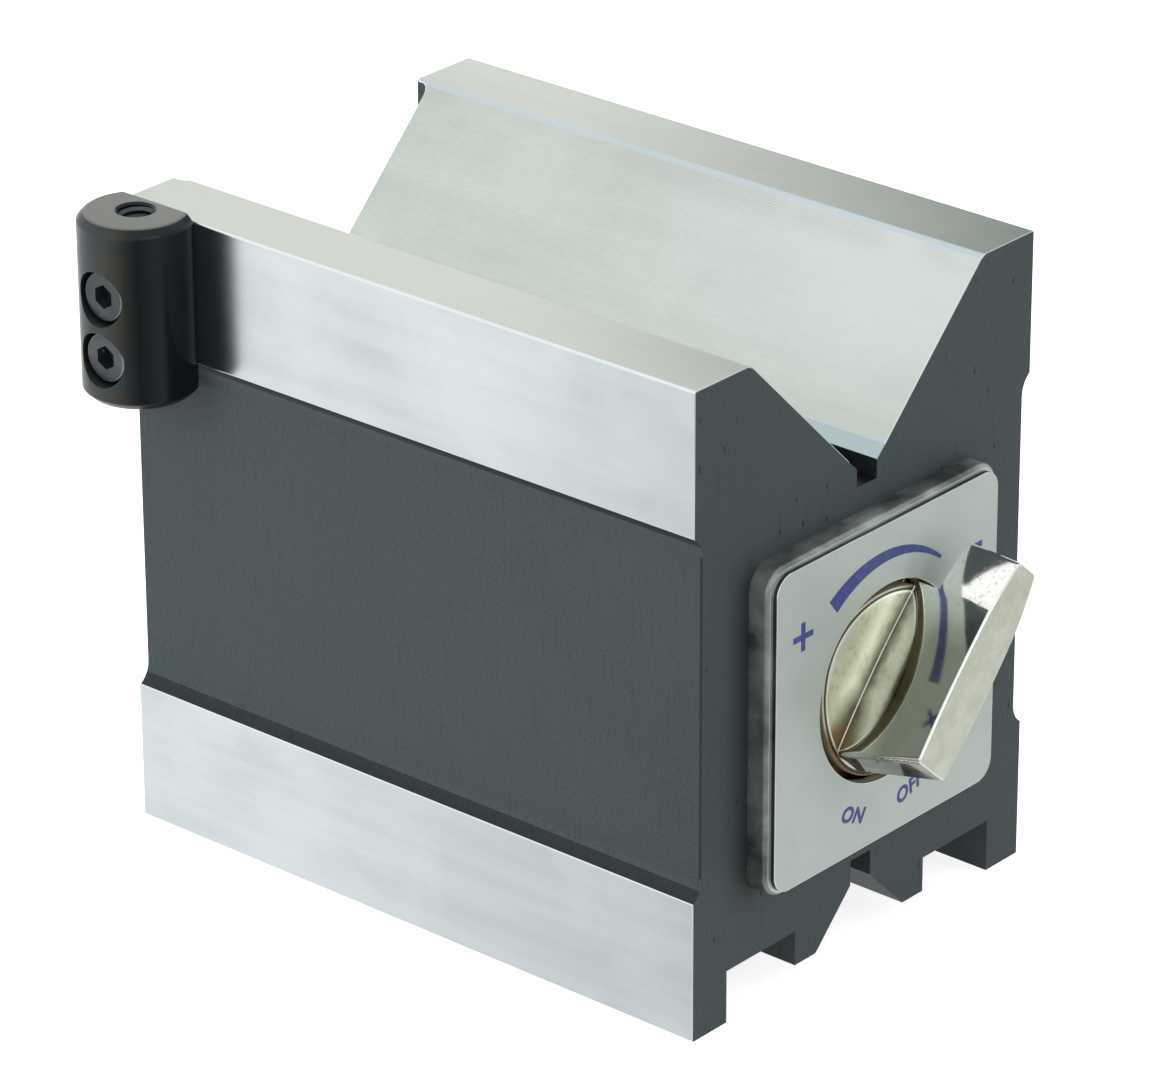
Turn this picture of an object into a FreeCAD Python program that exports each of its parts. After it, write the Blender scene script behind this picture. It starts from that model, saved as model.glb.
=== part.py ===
# Magnetic V-block with a turn knob and a clamp-post holder, in millimetres.
#
# Frame: +Z up, the block stands on Z = 0 and is centred on X = 0 and Y = 0.
# X is the width, Y the length. The knob end faces -Y and the post holder is on the -X side.
#
# The block is two soft-iron halves with brass separators between them. A magnet rotor turns in
# the bore that the halves share, and the knob at the front turns the rotor.
import FreeCAD, Part
import math
import os

import Sketcher

Vector = FreeCAD.Vector
Rotation = FreeCAD.Rotation
Placement = FreeCAD.Placement

DIMENSIONS = {
    # Block
    "block_width": 70.0,
    "block_length": 100.0,
    "block_height": 93.0,
    "edge_break": 0.3,
    "vee_half_opening": 24.0,
    "vee_edge_break": 0.5,
    "upper_strip_height": 20.4,
    "lower_strip_height": 20.4,
    "side_recess_depth": 1.7,
    "side_recess_radius": 3.6,
    "back_recess_left": 25.1,
    "back_recess_right": 23.9,
    "back_recess_depth": 2.4,
    "back_recess_radius": 1.5,
    # Underside
    "foot_inner": 28.0,
    "foot_slot_height": 7.8,
    "heel_outer": 13.75,
    "heel_height": 2.7,
    "under_vee_half": 9.35,
    "under_slot_depth": 3.75,
    # Bore and separators
    "separator_half": 2.1,
    "upper_slot_depth": 2.7,
    "bore_height": 41.0,
    "bore_radius": 18.0,
    "rotor_gap": 0.4,
    # Front plate
    "bezel_width": 48.0,
    "bezel_height": 47.6,
    "bezel_thickness": 3.2,
    "bezel_corner": 3.6,
    "bezel_edge_round": 0.75,
    "bezel_lip": 0.8,
    "bezel_seat_radius": 16.0,
    "bezel_screw_inset": 6.0,
    "knob_hole_radius": 14.1,
    "label_inset": 0.8,
    "label_corner": 3.0,
    "label_thickness": 0.8,
    # Knob
    "rest_turn": 42.0,
    "turn_range": 90.0,
    "knob_disc_gap": 1.0,
    "knob_disc_proud": 0.1,
    "knob_disc_fall": 1.3,
    "knob_disc_round": 0.25,
    "flange_gap": 0.4,
    "flange_end_gap": 0.3,
    "boss_radius": 11.0,
    "boss_length": 6.0,
    "boss_clearance": 0.05,
    "bush_end_gap": 0.4,
    "tang_width": 12.0,
    "tang_length": 5.0,
    "tang_end_gap": 0.2,
    "lever_rise": 16.5,
    "lever_half_root": 3.4,
    "lever_half_middle": 3.9,
    "lever_half_tip": 2.0,
    "lever_foot": 12.2,
    "lever_foot_slope": 2.8,
    "lever_shoulder": 12.6,
    "lever_tip": 20.9,
    "lever_tip_slope": 0.5,
    "lever_overhang_rise": 7.7,
    "lever_overhang_gap": 0.05,
    "lever_belly_radius": 142.0,
    "lever_tip_radius": 34.0,
    "lever_edge_round": 0.4,
    "lever_corner_round": 0.8,
    # Stop and seal
    "stop_inset": 1.0,
    "stop_radius": 1.2,
    "stop_gap": 0.3,
    "stop_slack_angle": 1.2,
    "stop_pin_hold": 4.0,
    "seal_half_section": 0.95,
    "seal_gap": 0.1,
    "seal_depth": 2.8,
    # Rotor
    "drive_disc_length": 6.0,
    "rear_disc_length": 5.0,
    "magnet_half_thickness": 6.5,
    "magnet_corner_gap": 0.33,
    "journal_radius": 6.0,
    "journal_clearance": 0.05,
    "journal_end_gap": 0.4,
    "rotor_end_gap": 0.35,
    "rotor_screw_x": 6.0,
    # Rear end
    "rear_bush_length": 6.6,
    "washer_thickness": 0.65,
    "washer_gap": 0.4,
    "washer_width": 3.6,
    "cover_gap": 1.9,
    "cover_height": 46.0,
    "cover_inset": 0.6,
    "cover_corner": 3.0,
    "cover_screw_inset": 4.5,
    # Low-head screws of the front plate and the cover
    "plate_screw_head_radius": 3.7,
    "plate_screw_head_height": 1.2,
    "plate_screw_radius": 2.0,
    "plate_screw_length": 10.0,
    "plate_screw_hex": 2.5,
    "plate_screw_hex_depth": 0.7,
    # Screws of the rotor
    "rotor_screw_head_radius": 2.75,
    "rotor_screw_head_height": 3.0,
    "rotor_screw_radius": 1.5,
    "rotor_screw_length": 10.0,
    "rotor_screw_hex": 2.5,
    "rotor_screw_hex_depth": 1.5,
    # Post holder and its screws
    "post_radius": 8.0,
    "post_height": 26.0,
    "post_rise": 1.2,
    "post_end_inset": 6.3,
    "post_flat": 3.8,
    "post_bevel": 1.0,
    "arm_thread_radius": 2.5,
    "arm_thread_depth": 6.5,
    "post_lower_screw_height": 6.7,
    "post_screw_pitch": 8.8,
    "post_seat_gap": 0.35,
    "post_seat_reach": 2.6,
    "post_hole_gap": 0.2,
    "post_screw_head_radius": 3.5,
    "post_screw_head_height": 4.0,
    "post_screw_radius": 2.0,
    "post_screw_length": 16.0,
    "post_screw_hex": 3.0,
    "post_screw_hex_depth": 2.2,
    # How far a cutting shape runs past what it cuts
    "overrun": 1.0,
}


class Size:
    """A length or angle from the sheet: its number now, and the text that keeps a feature bound."""

    def __init__(self, value, text):
        self.value = value
        self.text = text

    def __add__(self, other):
        other = as_size(other)
        return Size(self.value + other.value, f"({self.text} + {other.text})")

    def __sub__(self, other):
        other = as_size(other)
        return Size(self.value - other.value, f"({self.text} - {other.text})")

    def __mul__(self, other):
        other = as_size(other)
        return Size(self.value * other.value, f"({self.text} * {other.text})")

    def __truediv__(self, other):
        other = as_size(other)
        return Size(self.value / other.value, f"({self.text} / {other.text})")

    def __neg__(self):
        return Size(-self.value, f"(0 - {self.text})")


def as_size(number):
    return number if isinstance(number, Size) else Size(float(number), repr(float(number)))


def root(size):
    return Size(math.sqrt(size.value), f"sqrt({size.text})")


def sized(name):
    return Size(DIMENSIONS[name], f"Sizes.{name}")


doc = FreeCAD.newDocument("magnetic_v_block")
sheet = doc.addObject("Spreadsheet::Sheet", "Sizes")
for row, (alias, number) in enumerate(DIMENSIONS.items(), start=1):
    sheet.set(f"A{row}", alias)
    sheet.set(f"B{row}", str(number))
    sheet.setAlias(f"B{row}", alias)
doc.recompute()

parts = []


def bind(thing, name, size):
    """Tie one property of an object to the sheet."""
    thing.setExpression(name, as_size(size).text)


def new_body(label):
    body = doc.addObject("PartDesign::Body", label)
    body.Label = label
    parts.append(body)
    return body


def sketch_on(body, role, offset=0.0):
    """An empty sketch on one of the body's own origin planes, moved along the plane's normal.

    Sketch axes are X and Z on XZ_Plane (normal -Y), X and Y on XY_Plane (normal +Z),
    and Y and Z on YZ_Plane (normal +X).
    """
    sketch = body.newObject("Sketcher::SketchObject", f"{body.Name}_sketch")
    plane = next(each for each in body.Origin.OriginFeatures if each.Role == role)
    sketch.AttachmentSupport = (plane, [""])
    sketch.MapMode = "FlatFace"
    bind(sketch, "AttachmentOffset.Base.z", offset)
    return sketch


def fix_point(sketch, geometry, position, x, y):
    """Hold one sketch point at its place, by distances from the sketch's origin."""
    for kind, size in (("DistanceX", as_size(x)), ("DistanceY", as_size(y))):
        number = sketch.addConstraint(Sketcher.Constraint(kind, -1, 1, geometry, position, size.value))
        sketch.setExpression(f"Constraints[{number}]", size.text)


def fix_radius(sketch, geometry, radius):
    number = sketch.addConstraint(Sketcher.Constraint("Radius", geometry, radius.value))
    sketch.setExpression(f"Constraints[{number}]", radius.text)


def arc_between(start, end, radius):
    """The short arc from start to end. A positive radius bulges to the right of that direction."""
    chord = end - start
    height = math.sqrt(max(radius * radius - chord.Length ** 2 / 4.0, 0.0))
    left = Vector(-chord.y, chord.x, 0).normalize()
    centre = (start + end) * 0.5 + left * math.copysign(height, radius)
    first = math.atan2(start.y - centre.y, start.x - centre.x)
    last = math.atan2(end.y - centre.y, end.x - centre.x)
    circle = Part.Circle(centre, Vector(0, 0, 1), abs(radius))
    if radius > 0:
        return Part.ArcOfCircle(circle, first, last if last > first else last + 2 * math.pi), 1, 2
    return Part.ArcOfCircle(circle, last, first if first > last else first + 2 * math.pi), 2, 1


def outline(sketch, corners):
    """A closed outline. A corner is (x, y), or (x, y, radius) where an arc leaves it for the next."""
    points = [Vector(as_size(c[0]).value, as_size(c[1]).value, 0) for c in corners]
    ends = []
    for number, corner in enumerate(corners):
        start = points[number]
        end = points[(number + 1) % len(points)]
        if len(corner) == 2:
            geometry, first, last = Part.LineSegment(start, end), 1, 2
        else:
            geometry, first, last = arc_between(start, end, as_size(corner[2]).value)
        ends.append((sketch.addGeometry(geometry, False), first, last))
    for number, (geometry, _, last) in enumerate(ends):
        following, first, _ = ends[(number + 1) % len(ends)]
        sketch.addConstraint(Sketcher.Constraint("Coincident", geometry, last, following, first))
    for (geometry, first, _), corner in zip(ends, corners):
        fix_point(sketch, geometry, first, corner[0], corner[1])
        if len(corner) == 3:
            radius = as_size(corner[2])
            fix_radius(sketch, geometry, radius if radius.value > 0 else -radius)


def circle(sketch, x, y, radius):
    geometry = sketch.addGeometry(
        Part.Circle(Vector(as_size(x).value, as_size(y).value, 0), Vector(0, 0, 1), radius.value), False)
    fix_point(sketch, geometry, 3, x, y)
    fix_radius(sketch, geometry, radius)


def rounded_rectangle(sketch, width, height, corner, centre_y=0.0):
    """A rectangle with arcs at its corners, centred on the sketch's Y axis."""
    half = width / 2
    low = as_size(centre_y) - height / 2
    high = as_size(centre_y) + height / 2
    outline(sketch, [
        (corner - half, low), (half - corner, low, corner),
        (half, low + corner), (half, high - corner, corner),
        (half - corner, high), (corner - half, high, corner),
        (-half, high - corner), (-half, low + corner, corner),
    ])


def feature(body, kind, sketch, length=None, away=False, both=False):
    """A Pad or Pocket of the sketch. Without a length it goes through everything."""
    made = body.newObject(f"PartDesign::{kind}", f"{body.Name}_{kind.lower()}")
    made.Profile = sketch
    made.Reversed = away
    made.SideType = "Symmetric" if both else "One side"
    if length is None:
        made.Type = "ThroughAll"
    else:
        made.Type = "Length"
        bind(made, "Length", length)
    sketch.Visibility = False
    return made


def pad(body, sketch, length, away=False, both=False):
    return feature(body, "Pad", sketch, length, away, both)


def pocket(body, sketch, length=None, away=False, both=False):
    """Cut the sketch out of the body, and make sure that the cut took something."""
    doc.recompute()
    before = body.Shape.Volume
    made = feature(body, "Pocket", sketch, length, away, both)
    doc.recompute()
    if not body.Shape.Volume < before - 1e-3:
        raise RuntimeError(f"{made.Name} cuts nothing")
    return made


def revolve(body, sketch):
    """Turn the sketch round its own vertical axis."""
    made = body.newObject("PartDesign::Revolution", f"{body.Name}_turned")
    made.Profile = sketch
    made.ReferenceAxis = (sketch, ["V_Axis"])
    made.Angle = 360
    sketch.Visibility = False
    return made


def round_edges(body, wanted, radius):
    """Round the tip's edges that the test picks."""
    doc.recompute()
    tip = body.Tip
    names = [f"Edge{n}" for n, edge in enumerate(tip.Shape.Edges, start=1) if wanted(edge)]
    made = body.newObject("PartDesign::Fillet", f"{body.Name}_fillet")
    made.Base = (tip, names)
    bind(made, "Radius", radius)
    return made


def all_at(edge, axis, level):
    """Whether every end of the edge lies at this level along one axis."""
    return all(abs(getattr(each.Point, axis) - level) < 1e-4 for each in edge.Vertexes)


def cylinder(name, radius, length, start, x=0.0, z=0.0):
    """A cylinder along +Y from the depth start."""
    made = doc.addObject("Part::Cylinder", name)
    made.Placement = Placement(Vector(0, 0, 0), Rotation(Vector(1, 0, 0), -90))
    bind(made, "Radius", radius)
    bind(made, "Height", length)
    bind(made, "Placement.Base.x", x)
    bind(made, "Placement.Base.y", start)
    bind(made, "Placement.Base.z", z)
    return made


def box(name, low, high):
    made = doc.addObject("Part::Box", name)
    for side, axis, first, last in zip(("Length", "Width", "Height"), "xyz", low, high):
        bind(made, side, as_size(last) - first)
        bind(made, f"Placement.Base.{axis}", first)
    return made


def boolean(kind, name, base, tools):
    """Part::Cut, Part::Fuse or Part::Common of a base with each tool in turn."""
    result = base
    for number, tool in enumerate(tools):
        made = doc.addObject(f"Part::{kind}", f"{name}_{kind.lower()}_{number}")
        made.Base = result
        made.Tool = tool
        result = made
    return result


def finish(thing, label):
    thing.Label = label
    parts.append(thing)
    return thing


overrun = sized("overrun")
width_half = sized("block_width") / 2
length_half = sized("block_length") / 2
top = sized("block_height")
separator_half = sized("separator_half")
bore_height = sized("bore_height")
bore_radius = sized("bore_radius")
vee_floor = top - sized("vee_half_opening") + separator_half
under_vee_floor = sized("heel_height") + sized("under_vee_half") - separator_half

# Places along Y, from the lever's outer face to the floor of the recess in the back
front = -length_half
lever_face = front - sized("lever_rise")
lever_under = front - sized("lever_overhang_rise")
bezel_front = front - sized("bezel_thickness")
label_front = bezel_front - sized("label_thickness")
disc_crown = label_front - sized("knob_disc_proud")
flange_front = bezel_front + sized("bezel_lip") + sized("flange_end_gap")
flange_back = front - sized("flange_end_gap")
drive_start = front + sized("boss_length")
magnet_start = drive_start + sized("drive_disc_length")
back_floor = length_half - sized("back_recess_depth")
rear_bush_start = back_floor - sized("rear_bush_length")
washer_start = rear_bush_start - sized("washer_thickness")
rotor_end = washer_start - sized("rotor_end_gap")
magnet_end = rotor_end - sized("rear_disc_length")
cover_face = length_half - sized("cover_inset")

# Radii that follow from what they run in
disc_radius = sized("knob_hole_radius") - sized("knob_disc_gap")
flange_radius = sized("bezel_seat_radius") - sized("flange_gap")
stop_reach = flange_radius - sized("stop_inset")
rotor_radius = bore_radius - sized("rotor_gap")
magnet_reach = rotor_radius - sized("magnet_corner_gap")
magnet_half = sized("magnet_half_thickness")
magnet_half_width = root(magnet_reach * magnet_reach - magnet_half * magnet_half)
cover_width = (sized("back_recess_right") - sized("cover_gap")) * 2

INTO_BLOCK_FROM_FRONT = Rotation(Vector(1, 0, 0), -90)
INTO_BLOCK_FROM_BACK = Rotation(Vector(1, 0, 0), 90)
INTO_BLOCK_FROM_LEFT = Rotation(Vector(0, 1, 0), 90)


def four_corners(across, up):
    """Four places round the bore's axis, each with a name, X, Z and whether it is up (1) or down (-1)."""
    return [(f"{height}_{hand}", across * sideways, bore_height + up * upward, upward)
            for height, upward in (("lower", -1), ("upper", 1))
            for hand, sideways in (("left", -1), ("right", 1))]


bezel_inset = sized("bezel_screw_inset")
bezel_corners = four_corners(sized("bezel_width") / 2 - bezel_inset,
                             sized("bezel_height") / 2 - bezel_inset)
cover_inset = sized("cover_screw_inset")
cover_corners = four_corners(cover_width / 2 - cover_inset, sized("cover_height") / 2 - cover_inset)
rotor_corners = four_corners(sized("rotor_screw_x"), (magnet_half + rotor_radius) / 2)


def half_profile(side):
    """One pole's outline in X and Z, from the upper relief slot round to the lower one."""
    vee = sized("vee_half_opening")
    vee_break = sized("vee_edge_break")
    edge = sized("edge_break")
    low = sized("lower_strip_height")
    high = top - sized("upper_strip_height")
    depth = sized("side_recess_depth")
    radius = sized("side_recess_radius")
    rise = root(radius * depth * 2 - depth * depth)
    heel = sized("heel_height")
    right = [
        (separator_half, vee_floor),
        (vee - vee_break, top - vee_break),
        (vee + vee_break, top),
        (width_half - edge, top),
        (width_half, top - edge),
        (width_half, high, radius * side),
        (width_half - depth, high - rise),
        (width_half - depth, low + rise, radius * side),
        (width_half, low),
        (width_half, edge),
        (width_half - edge, 0.0),
        (sized("foot_inner"), 0.0),
        (sized("foot_inner"), sized("foot_slot_height")),
        (sized("heel_outer"), sized("foot_slot_height")),
        (sized("heel_outer"), heel),
        (sized("under_vee_half"), heel),
        (separator_half, under_vee_floor),
    ]
    return [(as_size(corner[0]) * side, *corner[1:]) for corner in right]


def back_recess_plan(side):
    """Half of the channel down the back face, in X and Y."""
    wall = sized("back_recess_right" if side > 0 else "back_recess_left")
    radius = sized("back_recess_radius")
    return [
        (0.0, back_floor),
        ((wall - radius) * side, back_floor, radius * side),
        (wall * side, back_floor + radius),
        (wall * side, length_half + overrun),
        (0.0, length_half + overrun),
    ]


def pole(label, side):
    """One soft-iron pole: a V flank, ground strips, feet, half of the bore and its tapped holes."""
    body = new_body(label)
    profile = sketch_on(body, "XZ_Plane")
    outline(profile, half_profile(side))
    pad(body, profile, sized("block_length"), both=True)

    bore = sketch_on(body, "XZ_Plane")
    circle(bore, 0.0, bore_height, bore_radius)
    pocket(body, bore, both=True)

    recess = sketch_on(body, "XY_Plane")
    outline(recess, back_recess_plan(side))
    pocket(body, recess, (top + overrun) * 2, both=True)

    screw_reach = sized("plate_screw_length") + sized("plate_screw_head_height")
    for corners, level, outer, away in ((bezel_corners, front, bezel_front, False),
                                        (cover_corners, back_floor, cover_face, True)):
        holes = sketch_on(body, "XZ_Plane", -level)
        for _, x, z, _ in corners:
            if x.value * side > 0:
                circle(holes, x, z, sized("plate_screw_radius"))
        plate = outer - level if away else level - outer
        pocket(body, holes, screw_reach - plate, away=away)
    return body


left_pole = pole("left_pole", -1)
right_pole = pole("right_pole", 1)


def separator(label, low, high):
    """A brass bar between the poles, with the bore's curve along one edge."""
    bar = box(f"{label}_bar", (-separator_half, front, low), (separator_half, back_floor, high))
    bore = cylinder(f"{label}_bore", bore_radius, sized("block_length") + overrun * 2, front - overrun,
                    z=bore_height)
    finish(boolean("Cut", label, bar, [bore]), label)


separator("upper_separator", bore_height + bore_radius - overrun,
          vee_floor - sized("upper_slot_depth"))
separator("lower_separator", under_vee_floor + sized("under_slot_depth"),
          bore_height - bore_radius + overrun)


def front_bezel():
    """The steel plate that holds the knob in. The label hides its four screws."""
    body = new_body("front_bezel")
    shape = sketch_on(body, "XZ_Plane", -front)
    rounded_rectangle(shape, sized("bezel_width"), sized("bezel_height"), sized("bezel_corner"), bore_height)
    pad(body, shape, sized("bezel_thickness"))
    round_edges(body, lambda edge: all_at(edge, "y", bezel_front.value), sized("bezel_edge_round"))

    hole = sketch_on(body, "XZ_Plane", -front)
    circle(hole, 0.0, bore_height, sized("knob_hole_radius"))
    pocket(body, hole, sized("bezel_thickness") + overrun, away=True)

    seat = sketch_on(body, "XZ_Plane", -front)
    circle(seat, 0.0, bore_height, sized("bezel_seat_radius"))
    pocket(body, seat, sized("bezel_thickness") - sized("bezel_lip"), away=True)

    for radius, depth in (("plate_screw_radius", sized("bezel_thickness")),
                          ("plate_screw_head_radius", sized("plate_screw_head_height"))):
        holes = sketch_on(body, "XZ_Plane", -bezel_front)
        for _, x, z, _ in bezel_corners:
            circle(holes, x, z, sized(radius))
        pocket(body, holes, depth)


def label_plate():
    """The thin brushed plate over the bezel, with the hole for the knob."""
    body = new_body("label_plate")
    inset = sized("label_inset") * 2
    shape = sketch_on(body, "XZ_Plane", -bezel_front)
    rounded_rectangle(shape, sized("bezel_width") - inset, sized("bezel_height") - inset,
                      sized("label_corner"), bore_height)
    circle(shape, 0.0, bore_height, sized("knob_hole_radius"))
    pad(body, shape, sized("label_thickness"))


def rear_cover():
    """The plate that closes the bore, inside the recess of the back face."""
    body = new_body("rear_cover")
    shape = sketch_on(body, "XZ_Plane", -back_floor)
    rounded_rectangle(shape, cover_width, sized("cover_height"), sized("cover_corner"), bore_height)
    pad(body, shape, cover_face - back_floor, away=True)

    for radius, depth in (("plate_screw_radius", cover_face - back_floor),
                          ("plate_screw_head_radius", sized("plate_screw_head_height"))):
        holes = sketch_on(body, "XZ_Plane", -cover_face)
        for _, x, z, _ in cover_corners:
            circle(holes, x, z, sized(radius))
        pocket(body, holes, depth, away=True)


front_bezel()
label_plate()
rear_cover()


def socket_screw(label, family, place, turn):
    """A socket screw of one family: the head's face is at its own origin, the shank along its own +Z."""
    head_height = sized(f"{family}_screw_head_height")
    head = doc.addObject("Part::Cylinder", f"{label}_head")
    bind(head, "Radius", sized(f"{family}_screw_head_radius"))
    bind(head, "Height", head_height)
    shank = doc.addObject("Part::Cylinder", f"{label}_shank")
    bind(shank, "Radius", sized(f"{family}_screw_radius"))
    bind(shank, "Height", sized(f"{family}_screw_length"))
    bind(shank, "Placement.Base.z", head_height)
    socket = doc.addObject("Part::Prism", f"{label}_socket")
    socket.Polygon = 6
    bind(socket, "Circumradius", sized(f"{family}_screw_hex") / math.sqrt(3.0))
    bind(socket, "Height", sized(f"{family}_screw_hex_depth"))
    screw = boolean("Cut", label, boolean("Fuse", label, head, [shank]), [socket])
    screw.Placement = Placement(Vector(0, 0, 0), turn)
    for axis, size in zip("xyz", place):
        bind(screw, f"Placement.Base.{axis}", size)
    finish(screw, label)


for corner, x, z, _ in bezel_corners:
    socket_screw(f"bezel_screw_{corner}", "plate", (x, bezel_front, z), INTO_BLOCK_FROM_FRONT)
for corner, x, z, _ in cover_corners:
    socket_screw(f"cover_screw_{corner}", "plate", (x, cover_face, z), INTO_BLOCK_FROM_BACK)


def ring(name, outer, inner, length, start):
    """A plain ring round the bore's axis."""
    blank = cylinder(f"{name}_blank", outer, length, start, z=bore_height)
    hole = cylinder(f"{name}_hole", inner, length + overrun * 2, start - overrun, z=bore_height)
    return boolean("Cut", name, blank, [hole])


def bushes_and_washer():
    """The two bearings pressed in the bore, the front one with its stop pin, and the thrust washer."""
    bush_length = sized("boss_length") - sized("bush_end_gap")
    bush_inner = sized("boss_radius") + sized("boss_clearance")
    bush = ring("front_bush", bore_radius, bush_inner, bush_length, front)
    pin_height = bore_height - stop_reach
    pin_seat = cylinder("pin_seat", sized("stop_radius"), sized("stop_pin_hold") + overrun, front - overrun,
                        z=pin_height)
    finish(boolean("Cut", "pinned_bush", bush, [pin_seat]), "front_bush")
    pin_length = front - flange_front + sized("stop_pin_hold")
    finish(cylinder("stop_pin", sized("stop_radius"), pin_length, flange_front, z=pin_height), "stop_pin")

    journal = sized("journal_radius")
    finish(ring("rear_bush", bore_radius, journal + sized("journal_clearance"), sized("rear_bush_length"),
                rear_bush_start), "rear_bush")
    washer_inner = journal + sized("washer_gap")
    finish(ring("thrust_washer", washer_inner + sized("washer_width"), washer_inner,
                sized("washer_thickness"), washer_start), "thrust_washer")


bushes_and_washer()

seal_half = sized("seal_half_section")
seal_outer = sized("boss_radius") + sized("boss_clearance") - sized("seal_gap")
seal_floor = seal_outer - seal_half * 2
seal_middle = front + sized("seal_depth")


def knob_profile():
    """The knob's turned outline in radius and Y: boss, seal groove, flange and disc."""
    boss = sized("boss_radius")
    return [
        (0.0, drive_start),
        (boss, drive_start),
        (boss, seal_middle + seal_half),
        (seal_floor, seal_middle + seal_half),
        (seal_floor, seal_middle - seal_half),
        (boss, seal_middle - seal_half),
        (boss, flange_back),
        (flange_radius, flange_back),
        (flange_radius, flange_front),
        (disc_radius, flange_front),
        (disc_radius, disc_crown),
        (0.0, disc_crown),
    ]


def disc_slope(side):
    """What the disc's face loses on one side, where it falls away from the lever in a shallow arc."""
    start = sized("lever_half_middle")
    end = disc_radius + sized("knob_disc_gap") / 2
    run = end - start
    fall = sized("knob_disc_fall")
    radius = (run * run + fall * fall) / (fall * 2)
    return [
        (start * side, disc_crown, radius * side),
        (end * side, disc_crown + fall),
        (end * side, disc_crown - overrun),
        (start * side, disc_crown - overrun),
    ]


def stop_notch():
    """The gap in the flange's rim, in X and Z, in which the stop pin stands over the whole turn."""
    pin_angle = 270.0 + DIMENSIONS["rest_turn"]
    pin_half_angle = math.degrees(math.asin(DIMENSIONS["stop_radius"] / stop_reach.value))
    margin = DIMENSIONS["stop_slack_angle"] + pin_half_angle
    first = math.radians(pin_angle - DIMENSIONS["turn_range"] - margin)
    last = math.radians(pin_angle + margin)
    middle = (first + last) / 2
    inner = stop_reach - sized("stop_radius") - sized("stop_gap")
    outer = flange_radius + overrun
    return [
        (inner * math.cos(first), inner * math.sin(first)),
        (outer * math.cos(first), outer * math.sin(first), outer),
        (outer * math.cos(middle), outer * math.sin(middle), outer),
        (outer * math.cos(last), outer * math.sin(last)),
        (inner * math.cos(last), inner * math.sin(last), -inner),
        (inner * math.cos(middle), inner * math.sin(middle), -inner),
    ]


def lever_outline():
    """The lever in its own X and Z: long bellied flanks, then a shorter curve in to the tip."""
    foot_x, foot_z = sized("lever_half_root"), -sized("lever_foot")
    middle_x, middle_z = sized("lever_half_middle"), sized("lever_shoulder")
    tip_x, tip_z = sized("lever_half_tip"), sized("lever_tip")
    belly = sized("lever_belly_radius")
    taper = sized("lever_tip_radius")
    return [
        (foot_x, foot_z, belly), (middle_x, middle_z, taper), (tip_x, tip_z),
        (-tip_x, tip_z, taper), (-middle_x, middle_z, belly), (-foot_x, foot_z),
    ]


def lever_cuts():
    """What the lever loses in Y and Z: under its overhang, at its foot and at its tip."""
    foot = -sized("lever_foot")
    tip = sized("lever_tip")
    overhang = disc_radius + sized("lever_overhang_gap")
    past_face = lever_face - overrun
    return [
        [(lever_under, overhang), (flange_front, overhang),
         (flange_front, tip + overrun), (lever_under, tip + overrun)],
        [(disc_crown, foot), (lever_face, foot + sized("lever_foot_slope")),
         (past_face, foot - overrun), (disc_crown, foot - overrun)],
        [(lever_under, tip), (lever_face, tip - sized("lever_tip_slope")),
         (past_face, tip + overrun), (lever_under, tip + overrun)],
    ]


def is_disc_rim(edge):
    """Whether the edge is part of the disc's front rim, where the face falls to its side."""
    reach = [math.hypot(each.X, each.Z) for each in edge.Vertexes]
    level = edge.BoundBox.YMax
    return min(reach) > disc_radius.value - 0.01 and max(reach) < disc_radius.value + 0.01 \
        and level < flange_front.value - 0.1 and not is_along_y(edge)


def is_along_y(edge):
    return edge.BoundBox.YLength > 2 * max(edge.BoundBox.XLength, edge.BoundBox.ZLength)


def is_lever_corner(edge):
    """Whether the edge is one of the four that run outward along the lever's tip and foot."""
    outward = edge.BoundBox.YLength > 1.0 and edge.BoundBox.YMin < lever_face.value + 0.01
    middle = abs(edge.CenterOfMass.z)
    return outward and middle > DIMENSIONS["lever_foot"] - DIMENSIONS["lever_foot_slope"]


def knob():
    """The cast knob. It is drawn with its lever upright, then turned to its rest place."""
    body = new_body("knob")
    turned = sketch_on(body, "XY_Plane")
    outline(turned, knob_profile())
    revolve(body, turned)

    for side in (-1, 1):
        slope = sketch_on(body, "XY_Plane")
        outline(slope, disc_slope(side))
        pocket(body, slope, flange_radius * 2, both=True)

    round_edges(body, is_disc_rim, sized("knob_disc_round"))

    notch = sketch_on(body, "XZ_Plane", -flange_back)
    outline(notch, stop_notch())
    pocket(body, notch, flange_back - flange_front, away=True)

    tang = sketch_on(body, "XZ_Plane", -drive_start)
    half = sized("tang_width") / 2
    outline(tang, [(-half, -half), (half, -half), (half, half), (-half, half)])
    pad(body, tang, sized("tang_length"), away=True)

    lever = sketch_on(body, "XZ_Plane", -flange_front)
    outline(lever, lever_outline())
    pad(body, lever, flange_front - lever_face)
    for cut in lever_cuts():
        side_view = sketch_on(body, "YZ_Plane")
        outline(side_view, cut)
        pocket(body, side_view, flange_radius * 2, both=True)
    round_edges(body, is_lever_corner, sized("lever_corner_round"))
    round_edges(body, lambda edge: all_at(edge, "y", lever_face.value), sized("lever_edge_round"))

    body.Placement = Placement(Vector(0, 0, 0), Rotation(Vector(0, 1, 0), DIMENSIONS["rest_turn"]))
    bind(body, "Placement.Base.z", bore_height)
    bind(body, "Placement.Rotation.Angle", sized("rest_turn"))


knob()

# The seal is cut square from rubber tube
finish(ring("seal_ring", seal_outer, seal_floor, seal_half * 2, seal_middle - seal_half), "seal_ring")


def screw_voids(name, corners, start, length, seat_start):
    """The rotor screws' holes through one disc, and the seats of their heads."""
    for corner, x, z, _ in corners:
        yield cylinder(f"{name}_{corner}_hole", sized("rotor_screw_radius"), length, start, x, z)
        yield cylinder(f"{name}_{corner}_seat", sized("rotor_screw_head_radius"),
                       sized("rotor_screw_head_height"), seat_start, x, z)


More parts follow.
